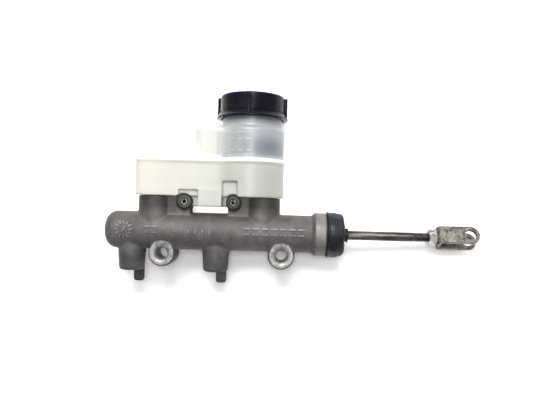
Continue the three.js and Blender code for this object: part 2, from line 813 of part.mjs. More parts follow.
// A washer between a spring and a piston, with a hub that centres the spring.
function springSeat(pistonX, facing) {
  const hub = (SPRING_D - WIRE_D) / 2 - SEAT;
  const hole = hub / 2;
  const near = pistonX + facing * SEAT;
  const washer = near + facing * SPRING_SEAT_T;
  const tip = washer + facing * FLANGE;
  return turnedX([
    [hole, near],
    [FLANGE_D / 2, near],
    [FLANGE_D / 2, washer],
    [hub, washer],
    [hub - SEAT, tip],
    [hole, tip],
    [hole, near],
  ]);
}

function stopPin() {
  const profile = rodProfile(STOP_PIN_D, AXIS_Z + STOP_PIN_REACH, CUP_FLOOR_Z);
  return turnedZ(profile, STOP_PIN_X, 12);
}

function stopWasher() {
  const hole = ROD_D + 2 * WASHER_CLEAR;
  const washer = ringProfile(COUNTERBORE_D - 2 * SEAT, hole, WASHER_X, WASHER_X + WASHER_T);
  return turnedX(washer);
}

// An internal retaining ring with its two plier eyes.
function snapRing() {
  const outer = COUNTERBORE_D / 2 + RING_GROOVE_DEPTH - SEAT;
  const inner = COUNTERBORE_D / 2 - 1.2;
  const open = 0.16 * Math.PI;
  const shape = new THREE.Shape();
  shape.absarc(0, 0, outer, open, 2 * Math.PI - open, false);
  shape.absarc(0, 0, inner, 2 * Math.PI - open, open, true);
  const settings = { depth: RING_T, bevelEnabled: false, curveSegments: 20 };
  const pieces = [solid(new THREE.ExtrudeGeometry(shape, settings))];
  const eyes = [];
  for (const side of [-1, 1]) {
    const angle = side * open;
    const x = inner * Math.cos(angle);
    const y = inner * Math.sin(angle);
    const eye = new THREE.CylinderGeometry(1.7, 1.7, RING_T, 12).rotateX(Math.PI / 2);
    const hole = new THREE.CylinderGeometry(0.7, 0.7, 3 * RING_T, 8).rotateX(Math.PI / 2);
    pieces.push(solid(eye.translate(x - 0.6, y, RING_T / 2)));
    eyes.push(solid(hole.translate(x - 0.6, y, RING_T / 2)));
  }
  const flat = geometryOf(join(pieces).subtract(join(eyes)));
  return solid(flat.rotateY(Math.PI / 2).translate(RING_X, 0, AXIS_Z));
}

function pushrod() {
  const rod = ROD_D / 2;
  const ball = BALL_D / 2;
  const neckAngle = THREE.MathUtils.radToDeg(Math.acos(rod / ball));
  const tip = 1;
  return turnedX([
    ...arcPoints(0, BALL_X, ball, -90, neckAngle, 10).map(([r, x]) => [Math.max(r, 0), x]),
    [rod, ROD_END_X - tip],
    [rod - tip, ROD_END_X],
    [0, ROD_END_X],
  ]);
}

function pushrodRetainer() {
  const hole = ROD_D + 0.6 * BALL_OVER;
  const x = PRIMARY_REAR_X - RETAINER_INSET - RETAINER_T;
  return turnedX(ringProfile(RETAINER_D, hole, x, x + RETAINER_T));
}

function boot() {
  const lip = COUNTERBORE_D / 2 - SEAT;
  const bead = BOOT_BEAD_D / 2;
  const outer = BOOT_D / 2;
  const shoulder = outer - BOOT_SHOULDER - 0.4;
  const endX = BOOT_X + BOOT_LENGTH;
  const hole = ROD_D / 2 + SWING;
  const nose = hole + BOOT_NOSE_WALL;
  const lipX = RING_X + RING_T + 2 * SEAT;
  const lipHole = lip - BOOT_WALL;
  return turnedX(
    [
      [lipHole, lipX],
      [lip, lipX],
      [lip, BOOT_X],
      [bead, BOOT_X],
      [bead, BOOT_X + 1.7],
      [outer, BOOT_X + 2.2],
      ...arcPoints(shoulder, endX - BOOT_SHOULDER, BOOT_SHOULDER, 0, 90, 4),
      [nose - 0.2, endX],
      [nose, endX + BOOT_NOSE_LENGTH],
      [hole, endX + BOOT_NOSE_LENGTH],
      [hole, endX - BOOT_WALL],
      [shoulder, endX - BOOT_WALL],
      [outer - BOOT_WALL - 0.4, endX - BOOT_SHOULDER],
      [outer - BOOT_WALL, BOOT_X + 2.2],
      [lipHole, BOOT_X + 2.2],
      [lipHole, lipX],
    ],
    FINE,
  );
}

function jamNut() {
  const corner = NUT_FLATS / Math.sqrt(3);
  const hex = new THREE.CylinderGeometry(corner, corner, NUT_T, 6).rotateZ(-Math.PI / 2);
  const flat = NUT_FLATS / 2;
  const bevel = (corner - flat) / 2;
  const rounded = turnedX(
    [
      [0, NUT_X],
      [flat, NUT_X],
      [corner, NUT_X + bevel],
      [corner, NUT_X + NUT_T - bevel],
      [flat, NUT_X + NUT_T],
      [0, NUT_X + NUT_T],
    ],
    FINE,
  );
  const hole = turnedX(rodProfile(ROD_D + 2 * SEAT, NUT_X - 1, NUT_X + NUT_T + 1));
  return solid(hex.translate(NUT_X + NUT_T / 2, 0, AXIS_Z)).intersect(rounded).subtract(hole);
}

// The clevis is drawn upright with its pin along Y, then turned about the bore axis.
function clevis() {
  const height = CLEVIS_HEIGHT / 2;
  const gap = height - CLEVIS_STRAP;
  const half = CLEVIS_WIDTH / 2;
  const endX = CLEVIS_PIN_X + half;
  const bend = new THREE.Shape();
  bend.moveTo(endX, -height);
  bend.lineTo(endX, -gap);
  bend.lineTo(CLEVIS_X + CLEVIS_STRAP + 1, -gap);
  bend.lineTo(CLEVIS_X + CLEVIS_STRAP, 1 - gap);
  bend.lineTo(CLEVIS_X + CLEVIS_STRAP, gap - 1);
  bend.lineTo(CLEVIS_X + CLEVIS_STRAP + 1, gap);
  bend.lineTo(endX, gap);
  bend.lineTo(endX, height);
  bend.lineTo(CLEVIS_X + CLEVIS_BEND, height);
  bend.absarc(CLEVIS_X + CLEVIS_BEND, height - CLEVIS_BEND, CLEVIS_BEND, Math.PI / 2, Math.PI, false);
  bend.absarc(CLEVIS_X + CLEVIS_BEND, CLEVIS_BEND - height, CLEVIS_BEND, Math.PI, 1.5 * Math.PI, false);
  const strap = new THREE.ExtrudeGeometry(bend, {
    depth: CLEVIS_WIDTH,
    bevelEnabled: false,
    curveSegments: 4,
  });
  const outline = new THREE.Shape();
  outline.moveTo(CLEVIS_X - 1, half);
  outline.lineTo(CLEVIS_X - 1, -half);
  outline.lineTo(CLEVIS_PIN_X, -half);
  outline.absarc(CLEVIS_PIN_X, 0, half, -Math.PI / 2, Math.PI / 2, false);
  const eye = new THREE.Path();
  eye.absarc(CLEVIS_PIN_X, 0, CLEVIS_PIN_D / 2, 0, 2 * Math.PI, true);
  outline.holes.push(eye);
  const plan = new THREE.ExtrudeGeometry(outline, {
    depth: CLEVIS_HEIGHT + 2,
    bevelEnabled: false,
    curveSegments: 12,
  }).rotateX(Math.PI / 2);
  const yoke = solid(strap.translate(0, 0, -half)).intersect(solid(plan.translate(0, height + 1, 0)));
  const turned = geometryOf(yoke).rotateX(CLEVIS_TURN).translate(0, 0, AXIS_Z);
  const hole = turnedX(rodProfile(ROD_D + 2 * SEAT, CLEVIS_X - 1, CLEVIS_X + CLEVIS_STRAP + 2));
  return solid(turned).subtract(hole);
}

// Materials: colour, roughness, metalness
const CAST = [0x8e8b8b, 0.55, 0.9];
const WHITE_PLASTIC = [0xe9e7de, 0.5, 0];
const CLEAR_PLASTIC = [0xc9cfcf, 0.4, 0];
const BLACK_PLASTIC = [0x1c1c24, 0.3, 0];
const RUBBER = [0x2c2f33, 0.7, 0];
const STEEL = [0x9a958c, 0.35, 1];
const ZINC = [0xb8b0a0, 0.45, 1];
const ALLOY = [0xb9bbc0, 0.3, 1];

const group = new THREE.Group();

function add(name, body, [color, roughness, metalness]) {
  const material = new THREE.MeshStandardMaterial({ color, roughness, metalness });
  const mesh = new THREE.Mesh(geometryOf(body), material);
  mesh.name = name;
  group.add(mesh);
}

const PRIMARY_SEAT_X = PRIMARY_LIP_X - SEAT - FLANGE;
const SECONDARY_SEAT_X = SECONDARY_LIP_X - SEAT - FLANGE;
const PRIMARY_SEAL_X = PRIMARY_REAR_X - PRIMARY_REAR_LAND - CUP_LENGTH;
const SECONDARY_SEAL_X = SECONDARY_TAIL_X - FLANGE - CUP_LENGTH;
const SEAT_STACK = 2 * SEAT + SPRING_SEAT_T;

add("housing", housing(), CAST);
add("reservoir_lower", reservoirLower(), WHITE_PLASTIC);
add("reservoir_upper", reservoirUpper(), CLEAR_PLASTIC);
add("cap", cap(), BLACK_PLASTIC);
add("cap_diaphragm", diaphragm(), RUBBER);
add("grommet_front", grommet(FRONT_TOWER_X), RUBBER);
add("grommet_rear", grommet(REAR_TOWER_X), RUBBER);
add("roll_pin_front", rollPin(FRONT_PIN_X), STEEL);
add("roll_pin_rear", rollPin(REAR_PIN_X), STEEL);
add("primary_piston", primaryPiston(), ALLOY);
add("primary_cup_seal", cupSeal(PRIMARY_LIP_X, CUP_GROOVE_D, -1), RUBBER);
add("primary_rear_seal", cupSeal(PRIMARY_SEAL_X, REAR_GROOVE_D, -1), RUBBER);
add("secondary_piston", secondaryPiston(), ALLOY);
add("secondary_cup_seal", cupSeal(SECONDARY_LIP_X, CUP_GROOVE_D, -1), RUBBER);
add("secondary_rear_seal", cupSeal(SECONDARY_SEAL_X, CUP_GROOVE_D, 1), RUBBER);
add("primary_spring", spring(SECONDARY_TAIL_X + SEAT_STACK, PRIMARY_SEAT_X - SEAT, PRIMARY_TURNS), STEEL);
add("primary_spring_seat", springSeat(SECONDARY_TAIL_X, 1), STEEL);
add("secondary_spring", spring(BORE_END_X + SEAT, SECONDARY_SEAT_X - SEAT_STACK, SECONDARY_TURNS), STEEL);
add("secondary_spring_seat", springSeat(SECONDARY_SEAT_X, -1), STEEL);
add("secondary_stop_pin", stopPin(), STEEL);
add("stop_washer", stopWasher(), STEEL);
add("snap_ring", snapRing(), STEEL);
add("boot", boot(), RUBBER);
add("pushrod", pushrod(), STEEL);
add("pushrod_retainer", pushrodRetainer(), STEEL);
add("jam_nut", jamNut(), ZINC);
add("clevis", clevis(), ZINC);

export default group;
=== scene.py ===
import json
import math

import bmesh
import bpy
from mathutils import Matrix, Vector, noise


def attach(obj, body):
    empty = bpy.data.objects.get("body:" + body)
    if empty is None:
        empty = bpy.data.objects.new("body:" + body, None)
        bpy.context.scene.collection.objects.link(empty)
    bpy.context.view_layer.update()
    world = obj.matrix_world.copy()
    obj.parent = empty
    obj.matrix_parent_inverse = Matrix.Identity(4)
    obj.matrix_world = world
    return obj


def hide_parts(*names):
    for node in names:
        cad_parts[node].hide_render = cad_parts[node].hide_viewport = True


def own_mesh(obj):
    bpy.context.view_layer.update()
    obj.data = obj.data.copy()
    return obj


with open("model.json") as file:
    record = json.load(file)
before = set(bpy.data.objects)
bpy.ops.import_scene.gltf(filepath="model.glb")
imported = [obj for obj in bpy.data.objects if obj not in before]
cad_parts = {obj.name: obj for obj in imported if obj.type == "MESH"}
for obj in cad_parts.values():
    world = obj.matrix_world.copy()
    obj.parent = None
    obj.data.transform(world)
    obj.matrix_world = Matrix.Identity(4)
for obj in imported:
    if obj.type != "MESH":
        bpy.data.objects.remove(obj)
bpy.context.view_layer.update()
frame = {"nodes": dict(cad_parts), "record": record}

MM = 0.001

# The shapes below are drawn in millimetres, in the CAD frame, and scaled as they are finished.
AXIS_Z = 19.05  # bore axis
BARREL_D = 32.2
BORE_D = 19.05
BORE_END_X = -93.3
COUNTERBORE_D = 25.0
COUNTERBORE_X = 83.0
COLLAR_D = 37.4
COLLAR_X = 79.1
BOLT_X = 50.8
BOLT_BOSS_D = 21.8
BOLT_BOSS_HALF = 13.0
BOLT_HOLE_D = 10.3
OUTLETS_X = (-78.4, -5.8)
TAB_BOTTOM_Z = -26.4
OUTLET_BOTTOM_Z = -15.5
PORT_D = 10.0
TOWERS_X = (-59.1, 34.3)
TOWER_D = 29.0
TOWER_TOP_Z = 49.1
CUP_D = 19.2
CUP_FLOOR_Z = 36.0
PINS_X = (-32.5, 9.0)
PIN_Z = 44.5
PIN_BOSS_D = 13.5
PIN_HOLE_D = 6.6
EAR_IN = 4.6
EAR_OUT = 8.4
EAR_FOOT_Z = 27.0
EAR_TOP_Z = 49.0
LUG_HALF = 4.3
RES_FRONT_X = -74.3
RES_HALF = 19.5
ROUND_X = 22.7
ROUND_D = 57.2
RES_WALL = 2.4
RES_CORNER = 8.0
POCKET_HALF = 16.8
POCKET_HEIGHTS = (5.2, 12.9)  # over the front and the rear ear
NIPPLE_D = 12.0
NIPPLE_BORE = 8.0
FLANGE_PROUD = 0.6
FLANGE_T = 2.6
VALLEY_ROUND = 15.0
UPPER_INSET = 0.6
TOP_ROUND = 5.0
RES_BOTTOM_Z = 49.4
SEAM_Z = 80.6
LOBE_TOP_Z = 94.0
SHOULDER_TOP_Z = 109.8
SHOULDER_FRONT_X = -25.0
TONGUE_X = (-20.1, -0.4)
TONGUE_BOTTOM_Z = 40.6
NECK_D = 51.6
NECK_TOP_Z = 131.5
NECK_WALL = 3.0
CAP_BOTTOM_Z = 116.6
CLEVIS_X = 185.2
CLEVIS_TURN = math.radians(-32.0)
CLEVIS_PIN_X = 213.5
CLEVIS_PIN_D = 10.0
ROD_D = 7.94
ROD_END_X = 195.0
BALL_X = 77.0


# --- camera, light and the pale table behind the part ---

CAMERA_PLACE = (44.5, -475.0, 42.3)
CAMERA_ROLL = math.radians(1.6)
LENS = 35.74


def make_camera():
    """Looks along +Y, as the part lies on its back and is seen from above."""
    data = bpy.data.cameras.new("camera")
    data.sensor_width = 36.0
    data.lens = LENS
    data.clip_start = 0.01
    data.clip_end = 20.0
    camera = bpy.data.objects.new("camera", data)
    place = Matrix.Translation(Vector(CAMERA_PLACE) * MM)
    upright = Matrix.Rotation(math.radians(90.0), 4, "X")
    roll = Matrix.Rotation(CAMERA_ROLL, 4, "Z")
    camera.matrix_world = place @ upright @ roll
    bpy.context.scene.collection.objects.link(camera)
    bpy.context.scene.camera = camera


def area_light(name, place, target, size, power):
    """A soft rectangular light; size is (width, height) in metres."""
    data = bpy.data.lights.new(name, "AREA")
    data.shape = "RECTANGLE"
    data.size, data.size_y = size
    data.energy = power
    light = bpy.data.objects.new(name, data)
    light.location = place
    aim = Vector(target) - Vector(place)
    light.rotation_euler = aim.to_track_quat("-Z", "Y").to_euler()
    bpy.context.scene.collection.objects.link(light)


def make_world():
    """Soft white surroundings, brightest above the part and dim below it."""
    world = bpy.data.worlds.new("studio")
    world.use_nodes = True
    tree = world.node_tree
    direction = tree.nodes.new("ShaderNodeTexCoord")
    split = tree.nodes.new("ShaderNodeSeparateXYZ")
    ramp = tree.nodes.new("ShaderNodeMapRange")
    background = tree.nodes["Background"]
    tree.links.new(direction.outputs["Generated"], split.inputs["Vector"])
    tree.links.new(split.outputs["Z"], ramp.inputs["Value"])
    tree.links.new(ramp.outputs["Result"], background.inputs["Strength"])
    ramp.inputs["From Min"].default_value = -0.6
    ramp.inputs["From Max"].default_value = 0.9
    ramp.inputs["To Min"].default_value = 0.3
    ramp.inputs["To Max"].default_value = 1.35
    background.inputs["Color"].default_value = (1.0, 1.0, 1.0, 1.0)
    bpy.context.scene.world = world


def make_stage():
    """Table under the part's back, seen only from its front side."""
    middle, slope_x, slope_z = 0.0297, -0.0906, 0.033

    def depth(x, z):
        return middle + slope_x * x + slope_z * z

    mesh = bpy.data.meshes.new("table")
    reach = 4.0
    corners = [(-reach, -reach), (reach, -reach), (reach, reach), (-reach, reach)]
    mesh.from_pydata([(x, depth(x, z), z) for x, z in corners], [], [(0, 1, 2, 3)])
    table = bpy.data.objects.new("table", mesh)
    bpy.context.scene.collection.objects.link(table)
    mesh.materials.append(table_material())


# --- material helpers ---

NYLON_CLEAR = 0.93  # share of the light behind the nylon that its shadow keeps


class Shading:
    """A material's nodes, added one at a time and laid out by Blender's defaults."""

    def __init__(self, name):
        self.material = bpy.data.materials.new(name)
        self.material.use_nodes = True
        self.tree = self.material.node_tree
        self.shader = self.tree.nodes["Principled BSDF"]

    def node(self, kind, settings=None, **inputs):
        made = self.tree.nodes.new(kind)
        for key, value in (settings or {}).items():
            setattr(made, key, value)
        for key, value in inputs.items():
            self.set(made.inputs[key.replace("_", " ")], value)
        return made

    def set(self, socket, value):
        if isinstance(value, bpy.types.NodeSocket):
            self.tree.links.new(value, socket)
        elif isinstance(value, tuple) and socket.type == "RGBA":
            socket.default_value = (*value, 1.0)
        else:
            socket.default_value = value

    def surface(self, **inputs):
        for key, value in inputs.items():
            self.set(self.shader.inputs[key.replace("_", " ")], value)

    def place(self, stretch=(1.0, 1.0, 1.0), offset=(0.0, 0.0, 0.0)):
        """Places on the object in its own frame, stretched so that patterns run along it."""
        coordinates = self.node("ShaderNodeTexCoord")
        mapping = self.node("ShaderNodeMapping", Vector=coordinates.outputs["Object"])
        mapping.inputs["Scale"].default_value = stretch
        mapping.inputs["Location"].default_value = offset
        return mapping.outputs["Vector"]

    def noise(self, scale, detail=4.0, roughness=0.6, where=None):
        made = self.node("ShaderNodeTexNoise", Scale=scale, Detail=detail, Roughness=roughness)
        self.set(made.inputs["Vector"], where or self.place())
        return made.outputs["Fac"]

    def ramp(self, factor, stops):
        """Colours at positions, as (position, colour) pairs."""
        made = self.node("ShaderNodeValToRGB", Fac=factor)
        elements = made.color_ramp.elements
        while len(elements) < len(stops):
            elements.new(0.5)
        for element, (position, colour) in zip(elements, stops):
            element.position = position
            element.color = (*colour, 1.0)
        return made.outputs["Color"]

    def span(self, value, low, high, to_low=0.0, to_high=1.0):
        made = self.node("ShaderNodeMapRange", Value=value)
        for key, number in zip(("From Min", "From Max", "To Min", "To Max"), (low, high, to_low, to_high)):
            made.inputs[key].default_value = number
        return made.outputs["Result"]

    def mix(self, factor, first, second, blend="MIX"):
        made = self.node("ShaderNodeMix", {"data_type": "RGBA", "blend_type": blend})
        self.set(made.inputs["Factor"], factor)
        self.set(made.inputs[6], first)
        self.set(made.inputs[7], second)
        return made.outputs[2]

    def bump(self, height, distance, strength=1.0, normal=None):
        made = self.node("ShaderNodeBump", Height=height, Distance=distance, Strength=strength)
        if normal:
            self.set(made.inputs["Normal"], normal)
        return made.outputs["Normal"]

    def lighten_shadow(self, share):
        """Lets that share of the light through to what lies behind, as thin nylon does."""
        path = self.node("ShaderNodeLightPath")
        amount = self.span(path.outputs["Is Shadow Ray"], 0.0, 1.0, 0.0, share)
        clear = self.node("ShaderNodeBsdfTransparent")
        either = self.node("ShaderNodeMixShader", Fac=amount)
        self.set(either.inputs[1], self.shader.outputs["BSDF"])
        self.set(either.inputs[2], clear.outputs["BSDF"])
        self.set(self.tree.nodes["Material Output"].inputs["Surface"], either.outputs["Shader"])

    def along(self, axis):
        coordinates = self.node("ShaderNodeTexCoord")
        split = self.node("ShaderNodeSeparateXYZ", Vector=coordinates.outputs["Object"])
        return split.outputs[axis]


def table_material():
    s = Shading("table")
    grain = s.noise(60.0, 3.0)
    s.surface(
        Base_Color=s.ramp(grain, [(0.3, (0.93, 0.93, 0.93)), (0.7, (0.96, 0.96, 0.96))]),
        Roughness=0.9,
        Specular_IOR_Level=0.0,
    )
    clear = s.node("ShaderNodeBsdfTransparent")
    back = s.node("ShaderNodeNewGeometry")
    either = s.node("ShaderNodeMixShader", Fac=back.outputs["Backfacing"])
    s.set(either.inputs[1], s.shader.outputs["BSDF"])
    s.set(either.inputs[2], clear.outputs["BSDF"])
    s.set(s.tree.nodes["Material Output"].inputs["Surface"], either.outputs["Shader"])
    return s.material


def cast_material():
    """Cast aluminium: a fine grain over soft mottling, with painted shade on the towers and ears under the
    reservoir and on the outlets under the barrel.
    """
    s = Shading("cast_aluminium")
    mottle = s.noise(55.0, 5.0, 0.65)
    grain = s.noise(900.0, 3.0, 0.7)
    colour = s.ramp(mottle, [
        (0.3, (0.050, 0.045, 0.043)), (0.5, (0.080, 0.074, 0.071)), (0.72, (0.125, 0.118, 0.113)),
    ])
    speck = s.ramp(grain, [(0.3, (0.72, 0.72, 0.72)), (0.65, (1.12, 1.12, 1.12))])
    rubbed = s.mix(1.0, colour, speck, "MULTIPLY")
    # Painted shade: half as bright above 41 mm, under the reservoir, and down to 0.7 below the barrel, on the
    # outlets.
    height = s.along("Z")
    towers = s.span(height, 0.034, 0.041, 1.0, 0.5)
    outlets = s.span(height, -0.003, 0.005, 0.7, 1.0)
    painted_shade = s.mix(1.0, towers, outlets, "MULTIPLY")
    normal = s.bump(mottle, 0.0006, 0.5)
    s.surface(
        Base_Color=s.mix(1.0, rubbed, painted_shade, "MULTIPLY"),
        Metallic=0.4,
        Roughness=s.span(grain, 0.3, 0.7, 0.5, 0.68),
        Normal=s.bump(grain, 0.00025, 0.9, normal),
    )
    return s.material


def machined_material():
    """Cut aluminium on the mounting faces, the outlets and inside the bores."""
    s = Shading("machined_aluminium")
    fine = s.noise(700.0, 2.0, 0.6)
    stain = s.noise(420.0, 4.0, 0.65)
    colour = s.ramp(stain, [(0.4, (0.16, 0.155, 0.15)), (0.62, (0.29, 0.283, 0.275))])
    s.surface(
        Base_Color=colour,
        Metallic=0.6,
        Roughness=s.span(fine, 0.3, 0.7, 0.42, 0.58),
        Normal=s.bump(fine, 0.0001, 0.5),
    )
    return s.material


def collar_material():
    """The turned collar, lighter and smoother than the casting."""
    s = Shading("turned_collar")
    stain = s.noise(70.0, 5.0, 0.65)
    rings = s.noise(260.0, 2.0, 0.5, s.place((6.0, 0.4, 0.4)))
    colour = s.ramp(stain, [(0.3, (0.10, 0.096, 0.09)), (0.7, (0.19, 0.183, 0.173))])
    s.surface(
        Base_Color=colour,
        Metallic=0.5,
        Roughness=s.span(stain, 0.3, 0.7, 0.48, 0.6),
        Normal=s.bump(rings, 0.00015, 0.6),
    )
    return s.material


def rubbed_material():
    """Raised foundry marks, rubbed brighter than the casting round them."""
    s = Shading("rubbed_marks")
    wear = s.noise(500.0, 3.0, 0.6)
    s.surface(
        Base_Color=s.ramp(wear, [(0.35, (0.09, 0.087, 0.084)), (0.65, (0.17, 0.165, 0.16))]),
        Metallic=0.3,
        Roughness=s.span(wear, 0.3, 0.7, 0.5, 0.62),
        Normal=s.bump(wear, 0.00015, 0.7),
    )
    return s.material


def dark_hole_material():
    """Near-black painted shade over spring steel, for the inside of a pin's bore."""
    s = Shading("bore_shade_steel")
    shade_noise = s.noise(600.0, 3.0, 0.6)
    s.surface(
        Base_Color=s.ramp(shade_noise, [(0.35, (0.008, 0.008, 0.007)), (0.7, (0.02, 0.019, 0.018))]),
        Metallic=0.2,
        Roughness=s.span(shade_noise, 0.3, 0.7, 0.5, 0.7),
        Specular_IOR_Level=0.15,
    )
    return s.material


def lower_plastic_material():
    """Ivory nylon with painted light and shade: lighter at the front lobe, greyer round the neck's end."""
    s = Shading("white_plastic")
    flow = s.noise(28.0, 3.0, 0.5)
    grain = s.noise(1400.0, 2.0, 0.5)
    # Painted light and shade: lighter towards the front lobe, greyer towards the round end.
    light_and_shade_along_x = s.span(s.along("X"), -0.075, 0.03)
    base = s.mix(light_and_shade_along_x, (0.50, 0.49, 0.44), (0.345, 0.345, 0.32))
    tint = s.ramp(flow, [(0.35, (0.94, 0.94, 0.93)), (0.7, (1.0, 1.0, 1.0))])
    weld = s.span(s.along("Z"), 0.0788, 0.0797)
    s.surface(
        Base_Color=s.mix(weld, s.mix(1.0, base, tint, "MULTIPLY"), (0.78, 0.78, 0.74)),
        Roughness=0.42,
        Subsurface_Weight=1.0,
        Subsurface_Radius=(0.007, 0.0065, 0.005),
        Subsurface_Scale=1.0,
        Normal=s.bump(grain, 0.00003, 0.5),
    )
    s.lighten_shadow(NYLON_CLEAR)
    return s.material


def weld_material():
    """Whitened nylon, as on the level lines."""
    s = Shading("white_nylon")
    grain = s.noise(900.0, 2.0, 0.5)
    s.surface(
        Base_Color=s.ramp(grain, [(0.3, (0.32, 0.33, 0.33)), (0.7, (0.40, 0.41, 0.41))]),
        Roughness=0.4,
        Normal=s.bump(grain, 0.00003, 0.5),
    )
    return s.material


def upper_plastic_material():
    """Natural nylon that lets light through, with painted light and shade: lighter at the front lobe and
    greyer towards the round end, a dark patch of painted shade low in the round part, and the neck painted
    darker under the cap.
    """
    s = Shading("clear_plastic")
    flow = s.noise(24.0, 3.0, 0.5)
    grain = s.noise(1400.0, 2.0, 0.5)
    # Painted light and shade: the front lobe, with no cap above it, painted light, and the round end under
    # the cap painted grey.
    light_and_shade_along_x = s.span(s.along("X"), -0.04, 0.03)
    stops = [
        (0.14, (0.64, 0.64, 0.595)), (0.28, (0.45, 0.45, 0.415)), (0.51, (0.37, 0.37, 0.35)),
        (0.54, (0.34, 0.345, 0.335)), (0.70, (0.25, 0.26, 0.26)), (0.86, (0.235, 0.245, 0.25)),
    ]
    base = s.ramp(light_and_shade_along_x, stops)
    # Painted shade: a dark patch low in the round part, darkest at its middle.
    shade_patch = s.node("ShaderNodeTexGradient", {"gradient_type": "SPHERICAL"})
    reach = (1.0 / 0.026, 1.0 / 0.06, 1.0 / 0.012)
    centre = (-0.036 * reach[0], 0.0, -0.091 * reach[2])
    s.set(shade_patch.inputs["Vector"], s.place(reach, centre))
    shade = s.span(shade_patch.outputs["Fac"], 0.0, 0.7, 0.0, 1.0)
    tint = s.ramp(flow, [(0.35, (0.93, 0.94, 0.94)), (0.7, (1.0, 1.0, 1.0))])
    weld = s.span(s.along("Z"), 0.0824, 0.0814)
    # Painted shade: the neck, under the cap, painted half as bright from 110 to 115 mm up.
    neck = s.span(s.along("Z"), 0.110, 0.115, 1.0, 0.5)
    body = s.mix(1.0, s.mix(1.0, base, tint, "MULTIPLY"), neck, "MULTIPLY")
    colour = s.mix(shade, body, (0.10, 0.115, 0.142))
    s.surface(
        Base_Color=s.mix(weld, colour, (0.68, 0.68, 0.65)),
        Roughness=0.35,
        Subsurface_Weight=0.3,
        Subsurface_Radius=(0.006, 0.006, 0.005),
        Subsurface_Scale=1.0,
        Normal=s.bump(grain, 0.00003, 0.5),
    )
    s.lighten_shadow(NYLON_CLEAR)
    return s.material


def cap_material():
    s = Shading("black_plastic")
    smudge = s.noise(90.0, 4.0, 0.6)
    grain = s.noise(1200.0, 2.0, 0.5)
    s.surface(
        Base_Color=s.ramp(smudge, [(0.35, (0.002, 0.002, 0.005)), (0.75, (0.005, 0.0055, 0.010))]),
        Roughness=s.span(smudge, 0.3, 0.7, 0.14, 0.28),
        Specular_IOR_Level=0.1,
        Normal=s.bump(grain, 0.00003, 0.6),
    )
    return s.material


def rubber_material():
    """Moulded rubber with a dusty bloom."""
    s = Shading("rubber")
    bloom = s.noise(85.0, 5.0, 0.6)
    grain = s.noise(1000.0, 3.0, 0.6)
    s.surface(
        Base_Color=s.ramp(bloom, [
            (0.42, (0.004, 0.005, 0.007)), (0.56, (0.009, 0.011, 0.014)), (0.74, (0.04, 0.047, 0.052)),
        ]),
        Roughness=s.span(bloom, 0.35, 0.7, 0.42, 0.62),
        Specular_IOR_Level=0.25,
        Normal=s.bump(grain, 0.00012, 0.7),
    )
    return s.material


def steel_material():
    """Bright rod with dark drawn streaks along it."""
    s = Shading("steel")
    streak = s.noise(300.0, 4.0, 0.65, s.place((0.03, 1.0, 1.0)))
    stain = s.noise(200.0, 5.0, 0.7, s.place((0.35, 1.0, 1.0)))
    bright = s.ramp(streak, [
        (0.38, (0.03, 0.028, 0.026)), (0.5, (0.12, 0.116, 0.108)), (0.64, (0.35, 0.34, 0.318)),
    ])
    dark = s.ramp(stain, [(0.4, (0.35, 0.34, 0.32)), (0.58, (1.0, 1.0, 1.0))])
    thread = s.span(s.along("X"), 0.158, 0.170, 1.0, 0.4)
    s.surface(
        Base_Color=s.mix(1.0, s.mix(1.0, bright, dark, "MULTIPLY"), thread, "MULTIPLY"),
        Metallic=0.95,
        Roughness=s.span(stain, 0.3, 0.7, 0.42, 0.22),
        Normal=s.bump(streak, 0.00008, 0.7),
    )
    return s.material


def nut_material():
    s = Shading("bright_zinc")
    spot = s.noise(260.0, 4.0, 0.65)
    s.surface(
        Base_Color=s.ramp(spot, [(0.4, (0.13, 0.125, 0.115)), (0.56, (0.56, 0.55, 0.52))]),
        Metallic=0.9,
        Roughness=s.span(spot, 0.3, 0.7, 0.38, 0.2),
        Normal=s.bump(spot, 0.00012, 0.6),
    )
    return s.material


def clevis_material():
    """Pressed steel with worn, pitted zinc plate."""
    s = Shading("zinc_steel")
    patch = s.noise(170.0, 6.0, 0.72)
    pit = s.noise(1100.0, 4.0, 0.75)
    worn = s.ramp(patch, [
        (0.36, (0.055, 0.051, 0.046)), (0.48, (0.17, 0.16, 0.145)), (0.66, (0.33, 0.31, 0.28)),
    ])
    specks = s.ramp(pit, [(0.38, (0.25, 0.24, 0.23)), (0.6, (1.4, 1.38, 1.34))])
    normal = s.bump(patch, 0.0004, 0.6)
    s.surface(
        Base_Color=s.mix(1.0, worn, specks, "MULTIPLY"),
        Metallic=0.7,
        Roughness=s.span(pit, 0.3, 0.7, 0.5, 0.34),
        Normal=s.bump(pit, 0.00025, 0.9, normal),
    )
    return s.material


def alloy_material():
    """Anodised piston with the tool's rings round it."""
    s = Shading("piston_alloy")
    rings = s.noise(900.0, 2.0, 0.5, s.place((3.0, 0.1, 0.1)))
    tone = s.noise(120.0, 3.0, 0.5)
    s.surface(
        Base_Color=s.ramp(tone, [(0.35, (0.50, 0.51, 0.54)), (0.7, (0.64, 0.65, 0.68))]),
        Metallic=0.95,
        Roughness=s.span(rings, 0.3, 0.7, 0.2, 0.34),
        Normal=s.bump(rings, 0.00005, 0.6),
    )
    return s.material


CAST = cast_material()
MACHINED = machined_material()
COLLAR = collar_material()
RUBBED = rubbed_material()
BORE_SHADE = dark_hole_material()
IVORY = lower_plastic_material()
NYLON = upper_plastic_material()
WELD = weld_material()
BLACK = cap_material()
RUBBER = rubber_material()
STEEL = steel_material()
NUT = nut_material()
WORN_ZINC = clevis_material()
ALLOY = alloy_material()


# --- mesh helpers, all in millimetres ---

def turn_to(axis):
    """Turns the Z axis onto the one named."""
    if axis == "X":
        return Matrix.Rotation(math.radians(90.0), 4, "Y")
    if axis == "Y":
        return Matrix.Rotation(math.radians(-90.0), 4, "X")
    return Matrix.Identity(4)


